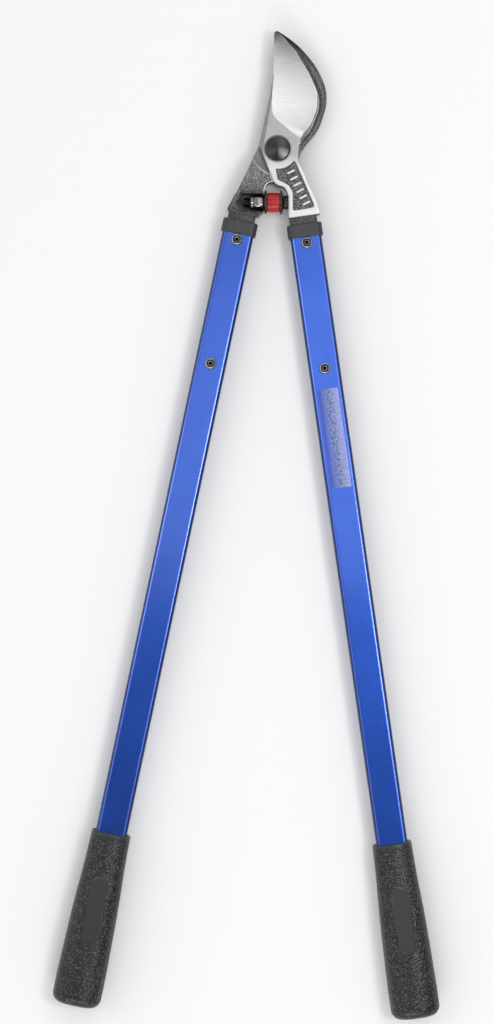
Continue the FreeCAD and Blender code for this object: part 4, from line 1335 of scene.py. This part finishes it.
def bladeLines(f, s):
    # Every line of the blade arm's plan, and the rows across its grind
    outline, spine = bladeArmOutline(f, s)
    reach, length = s["bladeReach"], s["bladeLength"]
    rows = smoothCurve(np.array(s["grind"]) * (reach, length, f["half"], reach, length, f["half"]), 260)
    spill = (rows[:, :2] - rows[:, 3:5]) * s["grindSpill"]
    spill = rows[:, :2] + spill / np.linalg.norm(rows[:, :2] - rows[:, 3:5], axis=1, keepdims=True)
    spine = np.vstack((spine, np.array(f["partingTop"]) + s["bevelRunOut"]))
    return {
        "outline": outline,
        "spine": spine,
        "grind": rows,
        "ground": np.vstack((spill[::3], rows[-1:, 3:5], rows[::-3, 3:5])),
        "bevel": bevelLoop(spine, np.array(s["bevelRows"])),
        "panel": panelLoop(f, s),
        "bars": barLoops(s),
    }


def bladeCreases(f, s, lines):
    # Each crease: loops, and how deep inside them it runs
    rings = [circle(s["spotfaceShown"]), circle(s["spotfaceShown"] + f["step"])]
    creases = [([(loop, False)], 0.0) for loop in (lines["ground"], lines["bevel"])]
    creases.append(([(lines["outline"], False)], f["edge"]))
    creases.extend(([(ring, False)], 0.0) for ring in rings)
    creases.extend(([(lines["panel"], False)], level) for level in (0.0, f["step"]))
    creases.extend(([(bar, False)], level) for bar in lines["bars"] for level in (0.0, -s["barSide"]))
    return creases


def bladeTop(f, s, lines, plan, depth):
    # The front face: the arm's shallow edge, the grind, the bevel, the spotface, the panel, its bars
    x, y = plan.T
    half, bevelRows = f["half"], np.array(s["bevelRows"])
    fade = np.clip((2 * f["partingTop"][1] - y) / f["partingTop"][1], 0, 1)
    top = half - fade * edgeDrop(depth, f["edge"], f["edgeSlope"])
    inGrind = within(plan, lines["ground"]) > 0
    top[inGrind] = np.minimum(top[inGrind], grindHeight(plan[inGrind], lines["grind"], s["grindCrown"]))
    toSpine, _, _ = nearestOn(plan, lines["spine"], closed=False)
    width = np.interp(y, bevelRows[:, 0], bevelRows[:, 1], left=0, right=0)
    top = np.where(width > 0, np.minimum(top, half - width + toSpine), top)
    fall = np.clip((s["spotfaceShown"] + f["step"] - np.hypot(x, y)) / f["step"], 0, 1)
    top = np.minimum(top, half - s["spotfaceDepth"] * fall)
    inPanel = within(plan, lines["panel"])
    grain = castGrain(x, y, s)
    floor = s["panelDepth"] * ease(inPanel, f["step"]) - f["skin"] * grain * ease(inPanel - f["step"], 0.4)
    top = top - np.where(inPanel > 0, floor, 0)
    onBar = withinAny(plan, lines["bars"])
    rise = half - s["panelDepth"] + s["barHeight"] * np.clip(1 + onBar / s["barSide"], 0, 1)
    top = np.where(onBar > -s["barSide"], np.maximum(top, rise), top)
    return np.maximum(top, f["gap"] + s["leastThickness"])


def bladePicks(lines, centre):
    # The finish of each face: 0 flat, 1 grind, 2 bevel, 3 the panel's skin
    pick = np.zeros(len(centre), int)
    pick[within(centre, lines["ground"]) > 0] = 1
    pick[within(centre, lines["bevel"]) > 0] = 2
    pick[(within(centre, lines["panel"]) > 0) & (withinAny(centre, lines["bars"]) < 0)] = 3
    return pick


def makeBladeArm(f, s):
    lines = bladeLines(f, s)
    loops = [(lines["outline"], False), (circle(s["bore"]), True)]
    plan, triangles = platePlan(loops, bladeCreases(f, s, lines), f["cell"])
    depth = within(plan, lines["outline"])
    arm = (np.hypot(*plan.T) > f["shoulderRadius"]) & (plan[:, 1] < 0)
    back = -f["half"] + np.clip(s["backEdge"] - depth, 0, s["backEdge"])
    bottom = np.where(arm, back, f["gap"])
    top = bladeTop(f, s, lines, plan, depth)
    points, upper, lower, walls = plateSolid(plan, triangles, top + restHeight, bottom + restHeight)
    pick = bladePicks(lines, plan[triangles].mean(axis=1))
    wallPick = np.where(points[walls[:, 0], 1] < f["partingTop"][1], 5, 2)
    # The tang takes the darker skin: painted shade on the neck
    tang, tangFaces = tangBar(f, "right")
    blocks = [(points, (upper, lower, walls), (pick, 3, wallPick)), (tang, (tangFaces,), (4,))]
    points, faces, picks = joined(blocks)
    addPiece(
        "bladeForging", "blade_side", ["blade_arm"], points, faces,
        [groundSteel, grindSteel, bevelSteel, panelSkin, shadedCastSkin, wallSteel], picks,
    )


makeBladeArm(forging, bladeArm)

hookArm = {
    "reach": 41.5,
    "depth": 55.7,
    "hookReach": 40.6,
    "hookLength": 98.9,
    "hub": 15.4,
    "root": 19.1,
    "bore": 6.0,
    "seatX": -11.4,
    "seatFoot": 52.1,
    "seatTop": 35.6,
    "slotLeft": -32.6,
    "slotRight": -9.9,
    "slotHalf": 7.33,
    "slotDown": 43.9,
    "slotSlope": 3.6,
    "slotFloor": -4.2,
    "slotRound": 2.3,
    "slotFall": 1.0,
    "rim": 0.5,
    "rimFoot": -37.0,
    "backEdge": 0.9,
    "grain": (1.2, 2.6, 0.55, 5),
    "reliefStep": 0.55,
    "reliefCell": 1.1,
    "reliefGain": 1.3,
    "slotCorner": 0.8,
    "rootStart": -80.0,
    "rootClear": 8.0,
    "hubClear": 14.0,
    "crotch": ((0.08, 0.33), (0.36, 0.80)),
    "outer": (
        (-0.480, -0.110), (-0.690, -0.440), (-0.985, -0.868), (-0.993, -0.895), (-0.975, -0.912),
        (-0.585, -0.993), (-0.378, -1.000), (-0.330, -0.960),
    ),
    "web": ((0.557, 0.097), (0.611, 0.136)),
    "gullet": ((0.600, 0.139), (0.505, 0.105), (0.382, 0.097)),
    # Rows across the hook: inner x, y, outer x, y, and thickness
    "rows": (
        (0.380, -0.018, 0.461, -0.026, 0.90),
        (0.449, 0.046, 0.569, 0.034, 0.92),
        (0.562, 0.111, 0.675, 0.087, 0.95),
        (0.680, 0.187, 0.810, 0.162, 0.98),
        (0.739, 0.249, 0.887, 0.226, 1.00),
        (0.803, 0.311, 0.946, 0.301, 1.00),
        (0.830, 0.372, 0.988, 0.370, 1.00),
        (0.819, 0.440, 1.000, 0.453, 1.00),
        (0.768, 0.502, 0.970, 0.528, 0.99),
        (0.695, 0.570, 0.894, 0.609, 0.97),
        (0.596, 0.641, 0.788, 0.692, 0.94),
        (0.483, 0.714, 0.670, 0.760, 0.89),
        (0.345, 0.795, 0.515, 0.833, 0.80),
        (0.202, 0.866, 0.350, 0.896, 0.68),
        (0.064, 0.928, 0.167, 0.951, 0.52),
        (-0.039, 0.977, -0.010, 0.997, 0.36),
    ),
    # Section: share of the width from the inner edge, share of the thickness down, material: 0 the ground
    # land, 1 painted shade on the inner flank and inner wall beside the blade, 2 the hook's skin
    "section": (
        (0.00, 0.03, 0), (0.03, 0.00, 0), (0.10, 0.00, 1), (0.14, 0.02, 1), (0.30, 0.10, 1), (0.47, 0.14, 2),
        (0.62, 0.19, 2), (0.80, 0.29, 2), (0.93, 0.40, 2), (1.00, 0.50, 2), (1.00, 0.66, 2), (1.00, 0.80, 2),
        (0.97, 0.88, 2), (0.89, 0.95, 2), (0.78, 1.00, 2), (0.50, 1.00, 2), (0.20, 1.00, 2), (0.07, 0.94, 1),
        (0.00, 0.82, 1), (0.00, 0.45, 1),
    ),
}


def hookSweep(f, s):
    # The hook: one closed section carried along its rows, with the forging's skin as a fine relief
    reach, length = s["hookReach"], s["hookLength"]
    rows = smoothCurve(np.array(s["rows"]) * (reach, length, reach, length, f["half"] - f["gap"]), 190)
    section = np.array(s["section"])
    span = rows[:, 2:4] - rows[:, :2]
    plan = rows[:, None, :2] + section[None, :, :1] * span[:, None, :]
    height = -f["gap"] - section[None, :, 1] * rows[:, 4:5]
    away = span / (np.linalg.norm(span, axis=1, keepdims=True) + tiny)
    arc, ring = np.meshgrid(np.arange(len(rows)) * s["reliefStep"], np.arange(len(section)), indexing="ij")
    relief = latticeNoise(arc, ring, s["reliefCell"], 7) * f["skin"] * s["reliefGain"]
    rough = (section[:, 2] == 2)[None, :]
    plan = plan + away[:, None, :] * (relief * rough * (section[None, :, 0] > 0.9) * -0.5)[..., None]
    height = height + relief * rough * (section[None, :, 1] < 0.6)
    points = np.concatenate((plan, (height + restHeight)[..., None]), axis=-1)
    caps = [points[:1].mean(axis=1, keepdims=True), points[-1:].mean(axis=1, keepdims=True)]
    caps = [np.repeat(cap, len(section), axis=1) for cap in caps]
    points = np.concatenate((caps[0], points, caps[1]))
    picks = np.tile(np.array((0, 1, 4))[section[:, 2].astype(int)], len(rows) + 1)
    return points.reshape(-1, 3), gridFaces(len(rows) + 2, len(section)), picks


def hookArmLines(f, s):
    # Crotch, outer side and the two ways to close them: round the root, or along the parting line
    top, foot = np.array(f["partingTop"]), np.array(f["partingFoot"])
    along = (foot - top) / np.linalg.norm(foot - top)
    shift = np.array((along[1], -along[0])) * f["armGap"]
    tip = foot + shift
    seatFoot, seatTop = np.array((s["seatX"], -s["seatFoot"])), np.array((s["seatX"], -s["seatTop"]))
    rise = smoothCurve(np.vstack((seatTop, seatTop + np.array(s["crotch"]) * (tip - seatTop), tip)), 24)
    crotch = np.vstack((seatFoot, rise))
    outer = places(s["outer"], s["reach"], s["depth"])
    hubTurn = math.degrees(math.atan2(top[1], top[0]))
    hubEnd = circle(s["hub"], 2, start=hubTurn, end=hubTurn + 1)[:1]
    side = [smoothCurve(np.vstack((start, outer[:3])), 50) for start in (hubEnd, [top + shift])]
    corner = np.vstack((smoothCurve(outer[2:5], 8), outer[5:]))
    web = places(s["web"], s["hookReach"], s["hookLength"])
    gullet = places(s["gullet"], s["hookReach"], s["hookLength"])
    right = math.degrees(math.atan2(web[0, 1], web[0, 0])) - s["rootClear"]
    hubRight = math.degrees(math.atan2(gullet[-1, 1], gullet[-1, 0])) + s["hubClear"]
    rootArc = circle(s["root"], 40, start=s["rootStart"], end=right)
    hubArc = circle(s["hub"], 30, start=hubRight, end=hubTurn)
    root = np.vstack((side[0], corner, crotch, rootArc, web, gullet, hubArc))
    front = np.vstack((side[1], corner, crotch))
    return root, front


def slotLoop(s):
    # The nut's pocket, pointed at its left end and open into the crotch
    left, right, half = s["slotLeft"], s["slotRight"], s["slotHalf"]
    bend = left + s["slotSlope"]
    corners = ((right, half), (bend, half), (left, 0), (bend, -half), (right, -half))
    loop = np.array(corners) - (0, s["slotDown"])
    return softened(np.vstack((loop, loop[:1])), s["slotCorner"], 4)[:-1]


def hookArmHeights(f, s, plan, raised, root, slot):
    # The arm's front stands up outside the step, and falls away round the pocket's mouth
    x, y = plan.T
    half, skin, edge = f["half"], f["skin"], s["backEdge"]
    up, _ = depthIn(plan, raised)
    inSlot, depth = within(plan, slot), within(plan, root)
    grain = castGrain(x, y, s)
    crown = half - edgeDrop(up, s["rim"], f["edgeSlope"]) + skin * grain * ease(up - s["rim"], 0.5)
    crown = crown - s["slotFall"] * (1 - ease(-inSlot, s["slotRound"]))
    top = np.where(up > -0.02, crown, -f["gap"])
    top = np.where(inSlot > 0, s["slotFloor"] + skin * grain, top)
    bottom = -half + np.clip(edge - depth, 0, edge) + skin * grain * ease(depth - edge, 0.5)
    return top, np.maximum(bottom, -half)


def hookArmPicks(s, centre, raised, slot):
    # The finish of each face: 0 ground rim, 1 the darker skin as painted shade round the pocket and along
    # the lower rim, 2 the skin, 3 the root's scale
    level, _ = depthIn(centre, raised)
    low = within(centre, slot)
    pick = np.full(len(centre), 2)
    # Painted shade round the pocket's mouth
    pick[(low > -s["slotRound"]) & (level > 0)] = 1
    onRim = (level > 0) & (level < s["rim"]) & (low < 0)
    # Below rimFoot the rim takes painted shade instead of ground steel
    pick[onRim] = np.where(centre[onRim, 1] > s["rimFoot"], 0, 1)
    pick[level < 0] = 3
    return pick


def makeHookArm(f, s):
    root, front = hookArmLines(f, s)
    slot = slotLoop(s)
    raised = [(front, False), (circle(f["stepRadius"], 120), True)]
    loops = [(root, False), (circle(s["bore"]), True)]
    creases = [(raised, level) for level in (0.0, s["rim"])]
    creases.extend(([(slot, False)], level) for level in (0.0, -s["slotRound"]))
    plan, triangles = platePlan(loops, creases, f["cell"])
    top, bottom = hookArmHeights(f, s, plan, raised, root, slot)
    points, upper, lower, walls = plateSolid(plan, triangles, top + restHeight, bottom + restHeight)
    pick = hookArmPicks(s, plan[triangles].mean(axis=1), raised, slot)
    hook, hookFaces, hookPicks = hookSweep(f, s)
    tang, tangFaces = tangBar(f, "left")
    blocks = [
        (points, (upper, lower, walls), (pick, 2, 5)),
        (hook, (hookFaces,), (hookPicks,)),
        (tang, (tangFaces,), (2,)),
    ]
    points, faces, picks = joined(blocks)
    addPiece(
        "hookForging", "hook_side", ["hook_arm"], points, faces,
        [groundSteel, shadedCastSkin, castSkin, scaleSteel, hookSkin, wallSteel], picks,
    )


makeHookArm(forging, hookArm)

print("stage: finishes on the frame's own pieces")

finishes = {
    "left_tube": blueTube,
    "right_tube": blueTube,
    "left_ferrule": ferrulePlastic,
    "right_ferrule": ferrulePlastic,
    "tube_label": labelFilm,
    "pivot_bushing": bronze,
}
for nodeName, finish in finishes.items():
    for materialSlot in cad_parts[nodeName].material_slots:
        materialSlot.material = finish

print("stage: floor")

floorSettings = {"half": 4.0, "colour": (0.94, 0.94, 0.94), "roughness": 0.75}


def makeFloor(s):
    mesh = bpy.data.meshes.new("floor")
    h = s["half"]
    mesh.from_pydata([(-h, -h, 0), (h, -h, 0), (h, h, 0), (-h, h, 0)], [], [(0, 1, 2, 3)])
    floor = bpy.data.objects.new("floor", mesh)
    bpy.context.scene.collection.objects.link(floor)
    material, _ = plainMaterial("floorPaper", s["colour"], s["roughness"])
    mesh.materials.append(material)


makeFloor(floorSettings)
